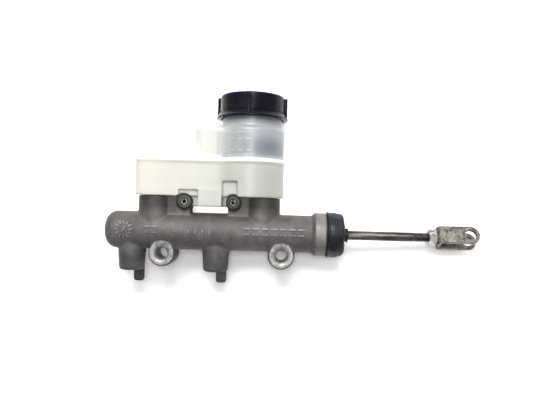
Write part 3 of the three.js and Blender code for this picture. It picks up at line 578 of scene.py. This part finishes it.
def mesh_of(bm, material_index=0):
    bmesh.ops.recalc_face_normals(bm, faces=bm.faces)
    for face in bm.faces:
        face.material_index = material_index
    mesh = bpy.data.meshes.new("part")
    bm.to_mesh(mesh)
    bm.free()
    return mesh


def join_rows(bm, low, high, steps):
    """Joins two rows of vertices all round. A row may be the single vertex at a turned body's tip."""
    for i in range(steps):
        j = (i + 1) % steps
        loop = [row[k % len(row)] for row, k in ((low, i), (low, j), (high, j), (high, i))]
        corners = list(dict.fromkeys(loop))
        if len(corners) > 2:
            bm.faces.new(corners)


def skin(bm, rows):
    """Joins rows of vertices, each to the next, and closes the first and last."""
    bm.faces.new(rows[0])
    bm.faces.new(rows[-1][::-1])
    for low, high in zip(rows, rows[1:]):
        join_rows(bm, low, high, len(low))


def turned(points, axis="X", centre=(0.0, 0.0, AXIS_Z), steps=128, material_index=0):
    """A body turned from (radius, place along the axis) points. A ring repeats its first point last."""
    bm = bmesh.new()
    ring = points[0] == points[-1]
    angles = [2 * math.pi * i / steps for i in range(steps)]
    rows = []
    for radius, height in points[:-1] if ring else points:
        spread = angles if radius > 1e-6 else [0.0]
        rows.append([bm.verts.new((radius * math.cos(a), radius * math.sin(a), height)) for a in spread])
    pairs = list(zip(rows, rows[1:]))
    if ring:
        pairs.append((rows[-1], rows[0]))
    for low, high in pairs:
        join_rows(bm, low, high, steps)
    bm.transform(Matrix.Translation(centre) @ turn_to(axis))
    return mesh_of(bm, material_index)


def rod(diameter, start, end, axis, centre, material_index=0, steps=96):
    radius = diameter / 2
    points = [(0.0, start), (radius, start), (radius, end), (0.0, end)]
    return turned(points, axis, centre, steps, material_index)


def arc(centre, radius, start, end, steps):
    """Points of an arc in degrees, as pairs."""
    angles = [math.radians(start + (end - start) * i / steps) for i in range(steps + 1)]
    return [(centre[0] + radius * math.cos(a), centre[1] + radius * math.sin(a)) for a in angles]


def prism(outline, low, high, axis="Z", material_index=0):
    """A flat outline raised along an axis. Along Z it is drawn in X and Y, along Y in X and Z."""
    bm = bmesh.new()
    if axis == "Z":
        rows = [[bm.verts.new((u, v, h)) for u, v in outline] for h in (low, high)]
    else:
        rows = [[bm.verts.new((u, h, v)) for u, v in outline] for h in (low, high)]
    skin(bm, rows)
    return mesh_of(bm, material_index)


def block(x, y, z, material_index=0):
    return prism([(x[0], y[0]), (x[1], y[0]), (x[1], y[1]), (x[0], y[1])], *z, "Z", material_index)


def rounded(x, y, corners, steps=10):
    """A rectangle's outline. corners holds the radii from the low X and low Y corner round."""
    outline = []
    spots = [(x[0], y[0], 180), (x[1], y[0], 270), (x[1], y[1], 0), (x[0], y[1], 90)]
    signs = [(1, 1), (-1, 1), (-1, -1), (1, -1)]
    for (px, py, start), (sx, sy), radius in zip(spots, signs, corners):
        if radius <= 0:
            outline.append((px, py))
        else:
            outline += arc((px + sx * radius, py + sy * radius), radius, start, start + 90, steps)
    return outline


def linked(mesh):
    """A working object. It has every slot a cut may need, so that cut faces keep theirs."""
    for material in (CAST, MACHINED, COLLAR, RUBBED)[len(mesh.materials):]:
        mesh.materials.append(material)
    obj = bpy.data.objects.new("work", mesh)
    bpy.context.scene.collection.objects.link(obj)
    return obj


def applied(obj):
    """The object's mesh with its modifiers applied. The object goes."""
    bpy.context.view_layer.update()
    graph = bpy.context.evaluated_depsgraph_get()
    mesh = bpy.data.meshes.new_from_object(obj.evaluated_get(graph))
    bpy.data.objects.remove(obj)
    return mesh


def combined(first, others, operation):
    obj = linked(first)
    helpers = [linked(mesh) for mesh in others]
    for helper in helpers:
        modifier = obj.modifiers.new("join", "BOOLEAN")
        modifier.operation = operation
        modifier.solver = "MANIFOLD"
        modifier.object = helper
    mesh = applied(obj)
    for helper in helpers:
        bpy.data.objects.remove(helper)
    return mesh


def fused(meshes):
    return combined(meshes[0], meshes[1:], "UNION")


def cut(mesh, cutters):
    return combined(mesh, cutters, "DIFFERENCE")


def softened(mesh, voxel, passes):
    """Remeshed evenly, then smoothed, so that joins become the fillets of a casting or a moulding."""
    obj = linked(mesh)
    remesh = obj.modifiers.new("voxels", "REMESH")
    remesh.mode = "VOXEL"
    remesh.voxel_size = voxel
    smooth = obj.modifiers.new("smooth", "SMOOTH")
    smooth.factor = 0.5
    smooth.iterations = passes
    return applied(obj)


def crumpled(mesh, size, depth):
    """Moves each vertex a little along its normal, by a smooth noise of that size."""
    moves = [noise.noise(v.co / size) * depth for v in mesh.vertices]
    for vertex, normal, move in zip(mesh.vertices, [v.normal.copy() for v in mesh.vertices], moves):
        vertex.co += normal * move
    return mesh


def finish_piece(name, mesh, materials, body, nodes, sharp=38.0):
    """Makes the piece that stands for the CAD nodes, smooth except at edges sharper than that angle."""
    mesh.transform(Matrix.Scale(MM, 4))
    mesh.name = name
    faces = [min(face.material_index, len(materials) - 1) for face in mesh.polygons]
    mesh.materials.clear()
    for material in materials:
        mesh.materials.append(material)
    mesh.polygons.foreach_set("material_index", faces)
    mesh.polygons.foreach_set("use_smooth", [True] * len(mesh.polygons))
    mesh.set_sharp_from_angle(angle=math.radians(sharp))
    obj = bpy.data.objects.new(name, mesh)
    bpy.context.scene.collection.objects.link(obj)
    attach(obj, body)
    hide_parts(*nodes)
    return obj


# --- the casting ---

CUT_FACE = 1  # material index of machined faces
COLLAR_FACE = 2
MARK_FACE = 3


def ear(tower_x, pin_x, side):
    """The web from a tower out to the boss round its roll pin."""
    outward = 1 if pin_x > tower_x else -1
    tip = pin_x + outward * (PIN_BOSS_D / 2 - 2.2)
    y = sorted((side * EAR_IN, side * EAR_OUT))
    web = block(sorted((tower_x, pin_x)), y, (EAR_FOOT_Z, EAR_TOP_Z))
    foot = block(sorted((pin_x, tip)), y, (EAR_FOOT_Z, PIN_Z))
    radius = PIN_BOSS_D / 2
    boss = turned(
        [(0.0, EAR_IN), (radius, EAR_IN), (radius, EAR_OUT), (6.3, 11.0), (5.6, 12.5), (0.0, 12.5)],
        "Y", (pin_x, 0.0, PIN_Z),
    )
    if side < 0:
        boss.transform(Matrix.Scale(-1.0, 4, (0.0, 1.0, 0.0)))
        boss.flip_normals()
    return [web, foot, boss]


def outlet(x):
    z = OUTLET_BOTTOM_Z
    cone = [(0.0, z), (9.3, z), (10.7, z + 1.4), (12.9, AXIS_Z), (0.0, AXIS_Z)]
    tab = prism(rounded((x - 0.3, x + 8.9), (TAB_BOTTOM_Z, 0.0), (2.3, 2.3, 0, 0)), 7.0, 11.0, "Y")
    return [turned(cone, "Z", (x, 0.0, 0.0)), tab]


def cast_body():
    radius = BARREL_D / 2
    collar = COLLAR_D / 2
    end = arc((radius - 9.5, -91.2), 9.5, -86, 0, 12)
    barrel = turned([
        (0.0, -101.1), *end, (radius, COLLAR_X - 2.6), (collar, COLLAR_X),
        (collar, 88.5), (collar - 0.8, 89.3), (0.0, 89.3),
    ])
    parts = [barrel]
    for x in OUTLETS_X:
        parts += outlet(x)
    for tower_x, pin_x in zip(TOWERS_X, PINS_X):
        parts.append(rod(TOWER_D, AXIS_Z, TOWER_TOP_Z, "Z", (tower_x, 0.0, 0.0)))
        parts += ear(tower_x, pin_x, -1) + ear(tower_x, pin_x, 1)
    for x in (-BOLT_X, BOLT_X):
        face, belly = BOLT_BOSS_D / 2, 11.5
        half = BOLT_BOSS_HALF
        flank = [(0.0, -half), (face, -half), (belly, -9.0), (belly, 9.0), (face, half), (0.0, half)]
        parts.append(turned(flank, "Y", (x, 0.0, 0.0)))
    return softened(fused(parts), 0.75, 7)


def bore_cutter():
    bore = BORE_D / 2
    wide = COUNTERBORE_D / 2
    return turned(
        [
            (0.0, BORE_END_X - bore / 4), (bore, BORE_END_X), (bore, COUNTERBORE_X), (wide, COUNTERBORE_X),
            (wide, 84.9), (wide + 1.2, 84.9), (wide + 1.2, 86.8), (wide, 86.8), (wide, 88.7),
            (wide + 0.7, 89.4), (wide + 0.7, 95.0), (0.0, 95.0),
        ],
        material_index=CUT_FACE,
    )


def collar_cutter():
    """Turns the collar true: a ring just outside it, and its end face."""
    collar = COLLAR_D / 2 - 0.1
    return turned(
        [
            (collar, COLLAR_X + 0.4), (collar, 88.4), (collar - 0.8, 89.2), (8.0, 89.2), (8.0, 96.0),
            (24.0, 96.0), (24.0, COLLAR_X + 0.4), (collar, COLLAR_X + 0.4),
        ],
        material_index=COLLAR_FACE,
    )


def bolt_cutters(x):
    """Faces the boss at both ends and drills its chamfered hole."""
    hole = BOLT_HOLE_D / 2
    face = BOLT_BOSS_HALF - 0.1
    profile = [
        (0.0, -20.0), (11.3, -20.0), (11.3, -face), (hole + 1.2, -face), (hole, 1.2 - face),
        (hole, face - 1.2), (hole + 1.2, face), (11.3, face), (11.3, 20.0), (0.0, 20.0),
    ]
    return turned(profile, "Y", (x, 0.0, 0.0), material_index=CUT_FACE)


def port_cutter(x):
    z = OUTLET_BOTTOM_Z + 0.1
    port = PORT_D / 2
    return turned(
        [
            (0.0, z - 1.0), (port + 1.2, z - 1.0), (port + 1.2, z), (port, z + 1.2), (port, -1.5),
            (2.0, 1.0), (2.0, AXIS_Z), (0.0, AXIS_Z),
        ],
        "Z", (x, 0.0, 0.0), material_index=CUT_FACE,
    )


def on_barrel(x, arc_length, lift):
    """A point on the barrel's front, that far round it from the middle."""
    radius = BARREL_D / 2
    angle = arc_length / radius
    reach = radius + lift
    return Vector((x, -reach * math.cos(angle), AXIS_Z + reach * math.sin(angle)))


def cast_mark(x, up, length, width, angle, lift):
    """A raised bar that follows the barrel, centred at (x, up) and turned in its surface."""
    bm = bmesh.new()
    along = Vector((math.cos(angle), math.sin(angle)))
    across = Vector((-along.y, along.x))
    steps = 6
    rows = []
    for i in range(steps + 1):
        middle = Vector((x, up)) + along * length * (i / steps - 0.5)
        low, high = middle - across * width / 2, middle + across * width / 2
        inner = 0.82
        top_low, top_high = middle - across * width / 2 * inner, middle + across * width / 2 * inner
        spots = [(low, -0.6), (top_low, lift), (top_high, lift), (high, -0.6)]
        rows.append([bm.verts.new(on_barrel(p.x, p.y, h)) for p, h in spots])
    skin(bm, rows)
    return mesh_of(bm, MARK_FACE)


def cast_marks():
    """Plain foundry marks: a ring of ticks, and rows of short bars."""
    marks = []
    for i in range(12):
        angle = 2 * math.pi * i / 12
        x, up = -82.4 + 6.0 * math.cos(angle), 0.8 + 6.0 * math.sin(angle)
        marks.append(cast_mark(x, up, 3.2, 1.6, angle, 0.8))
    marks.append(cast_mark(-82.4, 0.8, 6.0, 1.2, 0.9, 0.8))
    for x, up in ((-62.5, 3.6), (-62.5, -1.2), (-56.4, 3.6), (-56.4, -1.2)):
        marks.append(cast_mark(x, up, 4.6, 1.3, 0.0, 0.8))
    for i in range(5):
        marks.append(cast_mark(-34.0 + 6.0 * i, 0.4, 3.2 if i % 2 else 4.4, 1.2, math.pi / 2, 0.6))
    for i in range(7):
        marks.append(cast_mark(21.5 + 7.6 * i, 3.8, 5.6, 1.5, 0.0, 1.0))
        marks.append(cast_mark(21.5 + 7.6 * i, -0.8, 5.6, 1.5, 0.0, 1.0))
    return marks


def make_housing():
    cutters = [bore_cutter(), collar_cutter()]
    for x in (-BOLT_X, BOLT_X):
        cutters.append(bolt_cutters(x))
    for x in OUTLETS_X:
        cutters.append(port_cutter(x))
    for x, pin_x in zip(TOWERS_X, PINS_X):
        drop = AXIS_Z + 4.8
        cutters.append(rod(CUP_D, CUP_FLOOR_Z, 60.0, "Z", (x, 0.0, 0.0), CUT_FACE))
        cutters.append(rod(1.4, drop, CUP_FLOOR_Z + 1, "Z", (x - 6.3, 0.0, 0.0), CUT_FACE, 24))
        cutters.append(rod(4.0, drop, CUP_FLOOR_Z + 1, "Z", (x + 4.0, 0.0, 0.0), CUT_FACE, 32))
        cutters.append(rod(PIN_HOLE_D, -14.0, 14.0, "Y", (pin_x, 0.0, PIN_Z), CUT_FACE))
    cutters.append(rod(3.1, AXIS_Z, CUP_FLOOR_Z + 1, "Z", (TOWERS_X[0] + 7.7, 0.0, 0.0), CUT_FACE, 32))
    body = combined(cast_body(), cast_marks(), "UNION")
    mesh = cut(body, cutters)
    looks = [CAST, MACHINED, COLLAR, RUBBED]
    finish_piece("housing_casting", mesh, looks, "cylinder", ["housing"], 50.0)


make_housing()


def make_roll_pin(name, x):
    """Spring pin: a slit tube with its ends chamfered, its bore closed at the middle and painted near-black
    inside, as painted shade.
    """
    radius, half = 3.0, 12.4
    solid = turned(
        [(0.0, -half), (2.5, -half), (radius, 0.9 - half), (radius, half - 0.9), (2.5, half), (0.0, half)],
        "Y", (x, 0.0, PIN_Z),
    )
    spans = ((-half - 2, -3.0), (3.0, half + 2))
    # The bores' faces take the second material, near-black painted shade.
    bores = [rod(3.4, *ends, "Y", (x, 0.0, PIN_Z), CUT_FACE, 48) for ends in spans]
    slit = block((x - 0.45, x + 0.45), (-half - 2, half + 2), (PIN_Z, PIN_Z + 6))
    mesh = cut(solid, [*bores, slit])
    finish_piece(name + "_spring", mesh, [WORN_ZINC, BORE_SHADE], "cylinder", [name])


make_roll_pin("roll_pin_front", PINS_X[0])
make_roll_pin("roll_pin_rear", PINS_X[1])


# --- the reservoir ---

def lobe_outline(inset, front_x=RES_FRONT_X):
    half = RES_HALF - inset
    corner = RES_CORNER - inset
    return rounded((front_x + inset, ROUND_X), (-half, half), (corner, 0, 0, corner), 12)


def valleys(low, high):
    """Fills the two hollows between the flat sides and the round end to a 15 mm fillet."""
    fills = []
    for side in (1, -1):
        curve = arc((-4.0, RES_HALF + VALLEY_ROUND), VALLEY_ROUND, -90, -52.5, 10)
        hollow = [(x, side * y) for x, y in curve]
        outline = [*hollow, (8.0, side * 18.0), (-3.0, side * 18.0)]
        fills.append(prism(outline[::side], low, high))
    return fills


def lower_form(inset, low, high):
    round_end = rod(ROUND_D - 2 * inset, low, high, "Z", (ROUND_X, 0.0, 0.0), steps=160)
    return [prism(lobe_outline(inset), low, high), round_end]


def pocket_blocks(grow):
    """The pockets over the ears, and the room round their bosses."""
    reach = 4.2
    spans = [
        (PINS_X[0] - reach, TONGUE_X[0], RES_BOTTOM_Z + POCKET_HEIGHTS[0]),
        (TONGUE_X[1], PINS_X[1] + reach, RES_BOTTOM_Z + POCKET_HEIGHTS[1]),
    ]
    blocks = []
    for low, high, top in spans:
        for y in ((POCKET_HALF - grow, 40.0), (-40.0, grow - POCKET_HALF)):
            blocks.append(block((low - grow, high + grow), y, (30.0, top + grow)))
    for x in PINS_X:
        clear = PIN_BOSS_D + 0.7 + 2 * grow
        blocks.append(rod(clear, LUG_HALF - grow, 40.0, "Y", (x, 0.0, PIN_Z)))
        blocks.append(rod(clear, -40.0, grow - LUG_HALF, "Y", (x, 0.0, PIN_Z)))
    return blocks


def make_reservoir_lower():
    top = SEAM_Z
    outer = fused([*lower_form(0.0, RES_BOTTOM_Z, top + 2), *valleys(RES_BOTTOM_Z, top + 2)])
    outer = cut(outer, pocket_blocks(0.0))
    nipples = [rod(NIPPLE_D, 38.4, 52.0, "Z", (x, 0.0, 0.0)) for x in TOWERS_X]
    tongue = block(TONGUE_X, (-19.8, 19.8), (TONGUE_BOTTOM_Z, RES_BOTTOM_Z + 6.5))
    lug = block((PINS_X[0] - 8.4, PINS_X[1] + 8.4), (-LUG_HALF, LUG_HALF), (TONGUE_BOTTOM_Z, 50.6))
    flange = lower_form(-FLANGE_PROUD, top - FLANGE_T, top + 2)
    solid = softened(fused([outer, tongue, lug, *flange, *nipples]), 0.75, 4)
    hollow = cut(fused(lower_form(RES_WALL, RES_BOTTOM_Z + RES_WALL, top + 4)), pocket_blocks(RES_WALL))
    hollow = cut(hollow, [block((-11.45, -9.05), (-25, 25), (45.0, RES_BOTTOM_Z + 15.4))])
    cutters = [hollow, block((-90, 70), (-40, 40), (top, top + 8))]
    for x, pin_x in zip(TOWERS_X, PINS_X):
        cutters.append(rod(NIPPLE_BORE, 30.0, 56.0, "Z", (x, 0.0, 0.0)))
        cutters.append(rod(PIN_HOLE_D, -25.0, 25.0, "Y", (pin_x, 0.0, PIN_Z)))
    mesh = cut(solid, cutters)
    finish_piece("reservoir_tank", mesh, [IVORY], "cylinder", ["reservoir_lower"], 45.0)


def domed_disc(diameter, low, high, edge):
    """A disc with its top edge rounded."""
    radius = diameter / 2
    corner = arc((radius - edge, high - edge), edge, 0, 90, 8)
    return turned([(0.0, low), (radius, low), *corner, (0.0, high)], "Z", (ROUND_X, 0.0, 0.0), 160)


def domed_lobe(inset, front_x, low, high, edge):
    """The rectangular part of the reservoir in shrinking layers, so that its top edge is round."""
    bm = bmesh.new()
    steps = 8
    rows = [[bm.verts.new((x, y, low)) for x, y in lobe_outline(inset, front_x)]]
    for i in range(steps + 1):
        angle = math.radians(90.0 * i / steps)
        pull = edge * (1 - math.cos(angle))
        height = high - edge + edge * math.sin(angle)
        rows.append([bm.verts.new((x, y, height)) for x, y in lobe_outline(inset + pull, front_x)])
    skin(bm, rows)
    return mesh_of(bm)


def upper_form(inset, low, drop):
    side = UPPER_INSET + inset
    edge = TOP_ROUND - inset
    return [
        domed_lobe(side, RES_FRONT_X, low, LOBE_TOP_Z - drop, edge),
        domed_lobe(side, SHOULDER_FRONT_X - UPPER_INSET, low, SHOULDER_TOP_Z - drop, edge),
        domed_disc(ROUND_D - 2 * UPPER_INSET - 2 * inset, low, SHOULDER_TOP_Z - drop, edge),
    ]


def neck_thread():
    """One helical ridge round the neck, for the cap."""
    bm = bmesh.new()
    turns, steps = 2.2, 72
    total = int(turns * steps)
    rows = []
    for i in range(total + 1):
        angle = 2 * math.pi * i / steps
        height = 120.0 + 3.6 * i / steps
        fade = min(1.0, i / 12, (total - i) / 12)
        spots = [(25.3, -0.9), (25.8 + 0.42 * fade, -0.3), (25.8 + 0.42 * fade, 0.3), (25.3, 0.9)]
        rows.append([
            bm.verts.new((ROUND_X + r * math.cos(angle), r * math.sin(angle), height + h)) for r, h in spots
        ])
    skin(bm, rows)
    return mesh_of(bm)


def level_line(x, z, width=0.9):
    """A raised line across the front of the round part."""
    radius = 28.0
    bm = bmesh.new()
    steps = 16
    rows = []
    for i in range(steps + 1):
        at = x[0] + (x[1] - x[0]) * i / steps
        angle = math.asin((at - ROUND_X) / radius)
        foot, crest = radius - 0.5, radius + 0.35
        spots = [(foot, -width / 2), (crest, -width / 3), (crest, width / 3), (foot, width / 2)]
        rows.append([
            bm.verts.new((ROUND_X + r * math.sin(angle), -r * math.cos(angle), z + h)) for r, h in spots
        ])
    skin(bm, rows)
    return mesh_of(bm, MARK_FACE)


def make_reservoir_upper():
    bottom = SEAM_Z
    flange = lower_form(-FLANGE_PROUD, bottom - 2, bottom + FLANGE_T)
    neck = rod(NECK_D, SHOULDER_TOP_Z - 3, NECK_TOP_Z, "Z", (ROUND_X, 0.0, 0.0), steps=160)
    fills = valleys(bottom - 2, SHOULDER_TOP_Z - 5.5)
    solid = softened(fused([*upper_form(0.0, bottom - 2, 0.0), *flange, *fills, neck]), 0.75, 5)
    marks = [neck_thread(), level_line((5.0, 26.0), 102.6)]
    for start in (5.5, 12.5, 19.5):
        marks += [level_line((start, start + 4.5), 97.2), level_line((start, start + 4.5), 88.0)]
    solid = combined(solid, marks, "UNION")
    hollow = fused(upper_form(RES_WALL, bottom - 3, RES_WALL))
    mouth_d = NECK_D - 2 * NECK_WALL
    mouth = rod(mouth_d, SHOULDER_TOP_Z - 8, NECK_TOP_Z + 3, "Z", (ROUND_X, 0.0, 0.0), steps=160)
    below = block((-90, 70), (-40, 40), (bottom - 8, bottom))
    above = block((-90, 70), (-40, 40), (NECK_TOP_Z - 0.1, NECK_TOP_Z + 8))
    mesh = cut(solid, [fused([hollow, mouth]), below, above])
    looks = [NYLON, IVORY, IVORY, WELD]
    finish_piece("reservoir_top", mesh, looks, "cylinder", ["reservoir_upper"], 45.0)


make_reservoir_lower()
make_reservoir_upper()


# --- cap, boot, rod, nut and clevis ---

def make_cap():
    """Screw cap with a flared lip, a groove above it and four ribs."""
    inner, body = 26.4, 27.8
    low, ceiling, top = CAP_BOTTOM_Z, 133.7, 136.9
    profile = [
        (0.0, ceiling), (inner, ceiling), (inner, low + 1.0), (inner + 0.8, low),
        (30.4, low), *arc((30.3, low + 0.7), 0.7, -60, 60, 5), (29.4, low + 2.6), (28.7, low + 4.4),
        (27.5, low + 5.3), (27.5, low + 5.8), (body, low + 6.2), (body, top - 2.4),
        *arc((body - 2.4, top - 2.4), 2.4, 8, 90, 8), (16.0, top), (15.5, top - 0.5), (0.0, top - 0.5),
    ]
    cap = turned(profile, "Z", (ROUND_X, 0.0, 0.0), 192)
    ribs = []
    for i in range(4):
        rib = prism(rounded((25.8, 30.35), (-1.5, 1.5), (0, 0.7, 0.7, 0), 5), low + 1.6, top - 1.6)
        turn = Matrix.Rotation(math.radians(90.0 * i - 4.0), 4, "Z")
        rib.transform(Matrix.Translation((ROUND_X, 0.0, 0.0)) @ turn)
        inside = rod(2 * inner + 1.2, low - 3, top - 2.0, "Z", (ROUND_X, 0.0, 0.0), steps=160)
        ribs.append(cut(rib, [inside]))
    mesh = combined(cap, ribs, "UNION")
    finish_piece("reservoir_cap", mesh, [BLACK], "cap", ["cap"], 30.0)


def make_boot():
    """Rubber cover: a bead against the collar, a full shoulder and a small nose round the rod."""
    x = 89.6
    end = x + 14.8
    hole = ROD_D / 2 + 1.5
    profile = [
        (10.2, 87.1), (12.2, 87.1), (12.2, x), (19.2, x), *arc((19.1, x + 0.85), 0.75, -70, 70, 6),
        (19.1, x + 2.0), (19.35, x + 3.4), (19.25, x + 6.5), (18.8, x + 9.0), (18.4, end - 3.6),
        *arc((15.3, end - 3.4), 3.0, 12, 74, 8), (12.0, end - 0.1), (7.2, end),
        (6.4, end + 0.3), (5.9, end + 1.4), (5.9, end + 2.4), (6.2, end + 3.1), (6.0, end + 3.6),
        (hole, end + 3.6), (hole, end - 2.0), (13.9, end - 2.4), (16.5, end - 5.0), (17.3, x + 4.0),
        (10.2, x + 2.2), (10.2, 87.1),
    ]
    mesh = crumpled(turned(profile, steps=160), 6.0, 0.5)
    finish_piece("rubber_boot", mesh, [RUBBER], "cylinder", ["boot"], 40.0)


def ring_places(start, end, step=0.16):
    """Places along the rod of the rings that trace its thread."""
    count = int((end - start) / step)
    return [start + step * i for i in range(count + 1)]


def make_pushrod():
    """Ball, plain shank and a rolled thread at the clevis end."""
    radius = ROD_D / 2
    ball = 5.0
    neck = math.degrees(math.acos(radius / ball))
    plain = [(max(r, 0.0), h) for r, h in arc((0.0, BALL_X), ball, -90, neck, 24)]
    plain += [(radius, 100.0 + 10.0 * i) for i in range(7)]
    bm = bmesh.new()
    steps = 72
    rows = []
    for r, x in plain:
        spread = steps if r > 1e-4 else 1
        rows.append([(r, x, 2 * math.pi * i / steps) for i in range(spread)])
    pitch, depth = 1.25, 0.42
    for x in ring_places(163.0, 194.0):
        fade = min(1.0, (x - 163.0) / 2.5)
        row = []
        for i in range(steps):
            turn = (x / pitch - i / steps) % 1.0
            row.append((radius - depth * fade * abs(2 * turn - 1), x, 2 * math.pi * i / steps))
        rows.append(row)
    rows.append([(radius - 1.0, ROD_END_X, 2 * math.pi * i / steps) for i in range(steps)])
    rows.append([(0.0, ROD_END_X, 0.0)])
    made = [[bm.verts.new((x, r * math.cos(a), AXIS_Z + r * math.sin(a))) for r, x, a in row] for row in rows]
    for low, high in zip(made, made[1:]):
        join_rows(bm, low, high, steps)
    finish_piece("pushrod_steel", mesh_of(bm), [STEEL], "pushrod", ["pushrod"], 50.0)


def make_nut():
    flats, start, end = 12.7, 178.3, 184.9
    corner = flats / math.sqrt(3)
    outline = [(corner * math.cos(a), corner * math.sin(a)) for a in (math.pi / 3 * i for i in range(6))]
    hexagon = prism(outline, start, end)
    hexagon.transform(Matrix.Translation((0.0, 0.0, AXIS_Z)) @ turn_to("X"))
    flat = flats / 2
    chamfer = turned([
        (0.0, start), (flat - 0.2, start), (corner, start + 0.75),
        (corner, end - 0.75), (flat - 0.2, end), (0.0, end),
    ])
    hole = turned(
        [
            (0.0, start - 1), (5.0, start - 1), (5.0, start), (4.27, start + 0.7),
            (4.27, end - 0.7), (5.0, end), (5.0, end + 1), (0.0, end + 1),
        ],
    )
    mesh = cut(combined(hexagon, [chamfer], "INTERSECT"), [hole])
    finish_piece("lock_nut", mesh, [NUT], "jam_nut", ["jam_nut"], 25.0)


def make_clevis():
    """A strap folded into a yoke, its arms rounded at the pin's eye and softened at every edge."""
    height, half, strap = 14.3 / 2, 8.0, 3.0
    gap = height - strap
    x, end = CLEVIS_X, CLEVIS_PIN_X + half
    outside = rounded((x, end), (-height, height), (4.0, 0, 0, 4.0), 8)
    inside = rounded((x + strap, end + 5), (-gap, gap), (1.0, 0, 0, 1.0), 5)
    yoke = cut(prism(outside, -half, half, "Y"), [prism(inside, -half - 2, half + 2, "Y")])
    plan = [(x - 1, half), (x - 1, -half), *arc((CLEVIS_PIN_X, 0.0), half, -90, 90, 40)]
    yoke = combined(yoke, [prism(plan, -height - 2, height + 2)], "INTERSECT")
    yoke = softened(yoke, 0.34, 3)
    eye = rod(CLEVIS_PIN_D, -12.0, 12.0, "Z", (CLEVIS_PIN_X, 0.0, 0.0), steps=128)
    hole = rod(ROD_D + 0.6, x - 2, x + 5, "X", (0.0, 0.0, 0.0))
    yoke = cut(yoke, [eye, hole])
    turn = Matrix.Rotation(CLEVIS_TURN - math.pi / 2, 4, "X")
    yoke.transform(Matrix.Translation((0.0, 0.0, AXIS_Z)) @ turn)
    finish_piece("yoke", yoke, [WORN_ZINC], "clevis", ["clevis"], 45.0)


def make_spring(name, body, start, end, turns):
    """Coil spring with its end turns closer together."""
    wire, radius = 0.9, 6.7
    steps, sides = int(30 * turns), 14
    length = end - start - 2 * wire
    pitch = length / (2 * math.pi * turns)
    bm = bmesh.new()
    rings = []
    for i in range(steps + 1):
        share = i / steps
        angle = 2 * math.pi * turns * share
        outward = Vector((0.0, math.cos(angle), math.sin(angle)))
        rise = 1.0 - 0.55 * math.cos(2 * math.pi * share)
        forward = Vector((pitch * rise, -radius * math.sin(angle), radius * math.cos(angle))).normalized()
        aside = forward.cross(outward)
        place = start + wire + length * (share - 0.55 * math.sin(2 * math.pi * share) / (2 * math.pi))
        centre = Vector((place, 0.0, AXIS_Z)) + outward * radius
        turn = [2 * math.pi * k / sides for k in range(sides)]
        circle = [centre + wire * (math.cos(a) * outward + math.sin(a) * aside) for a in turn]
        rings.append([bm.verts.new(point) for point in circle])
    skin(bm, rings)
    piece = finish_piece(name + "_coil", mesh_of(bm), [STEEL], body, [name], 50.0)
    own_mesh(piece)


make_cap()
make_boot()
make_spring("primary_spring", "secondary_piston", -21.2, 26.1, 8.5)
make_spring("secondary_spring", "cylinder", -93.0, -68.8, 4.5)
make_pushrod()
make_nut()
make_clevis()


# --- CAD nodes that keep their shape, and the closing lines ---

NODE_MATERIALS = {
    "rubber": RUBBER,
    "steel": STEEL,
    "piston_alloy": ALLOY,
    "cast_aluminium": CAST,
    "white_plastic": IVORY,
    "clear_plastic": NYLON,
    "black_plastic": BLACK,
    "zinc_steel": WORN_ZINC,
}

for part in frame["record"]["subparts"]:
    data = frame["nodes"][part["node"]].data
    data.materials.clear()
    data.materials.append(NODE_MATERIALS[part["material_slot"]])

make_camera()
make_stage()
area_light("key", (-0.02, -0.68, 0.52), (0.03, 0.0, 0.02), (0.42, 0.32), 8.5)
area_light("fill", (0.04, -0.75, 0.10), (0.04, 0.0, 0.04), (0.2, 0.2), 2.0)
make_world()
bpy.context.scene.view_settings.view_transform = "Standard"
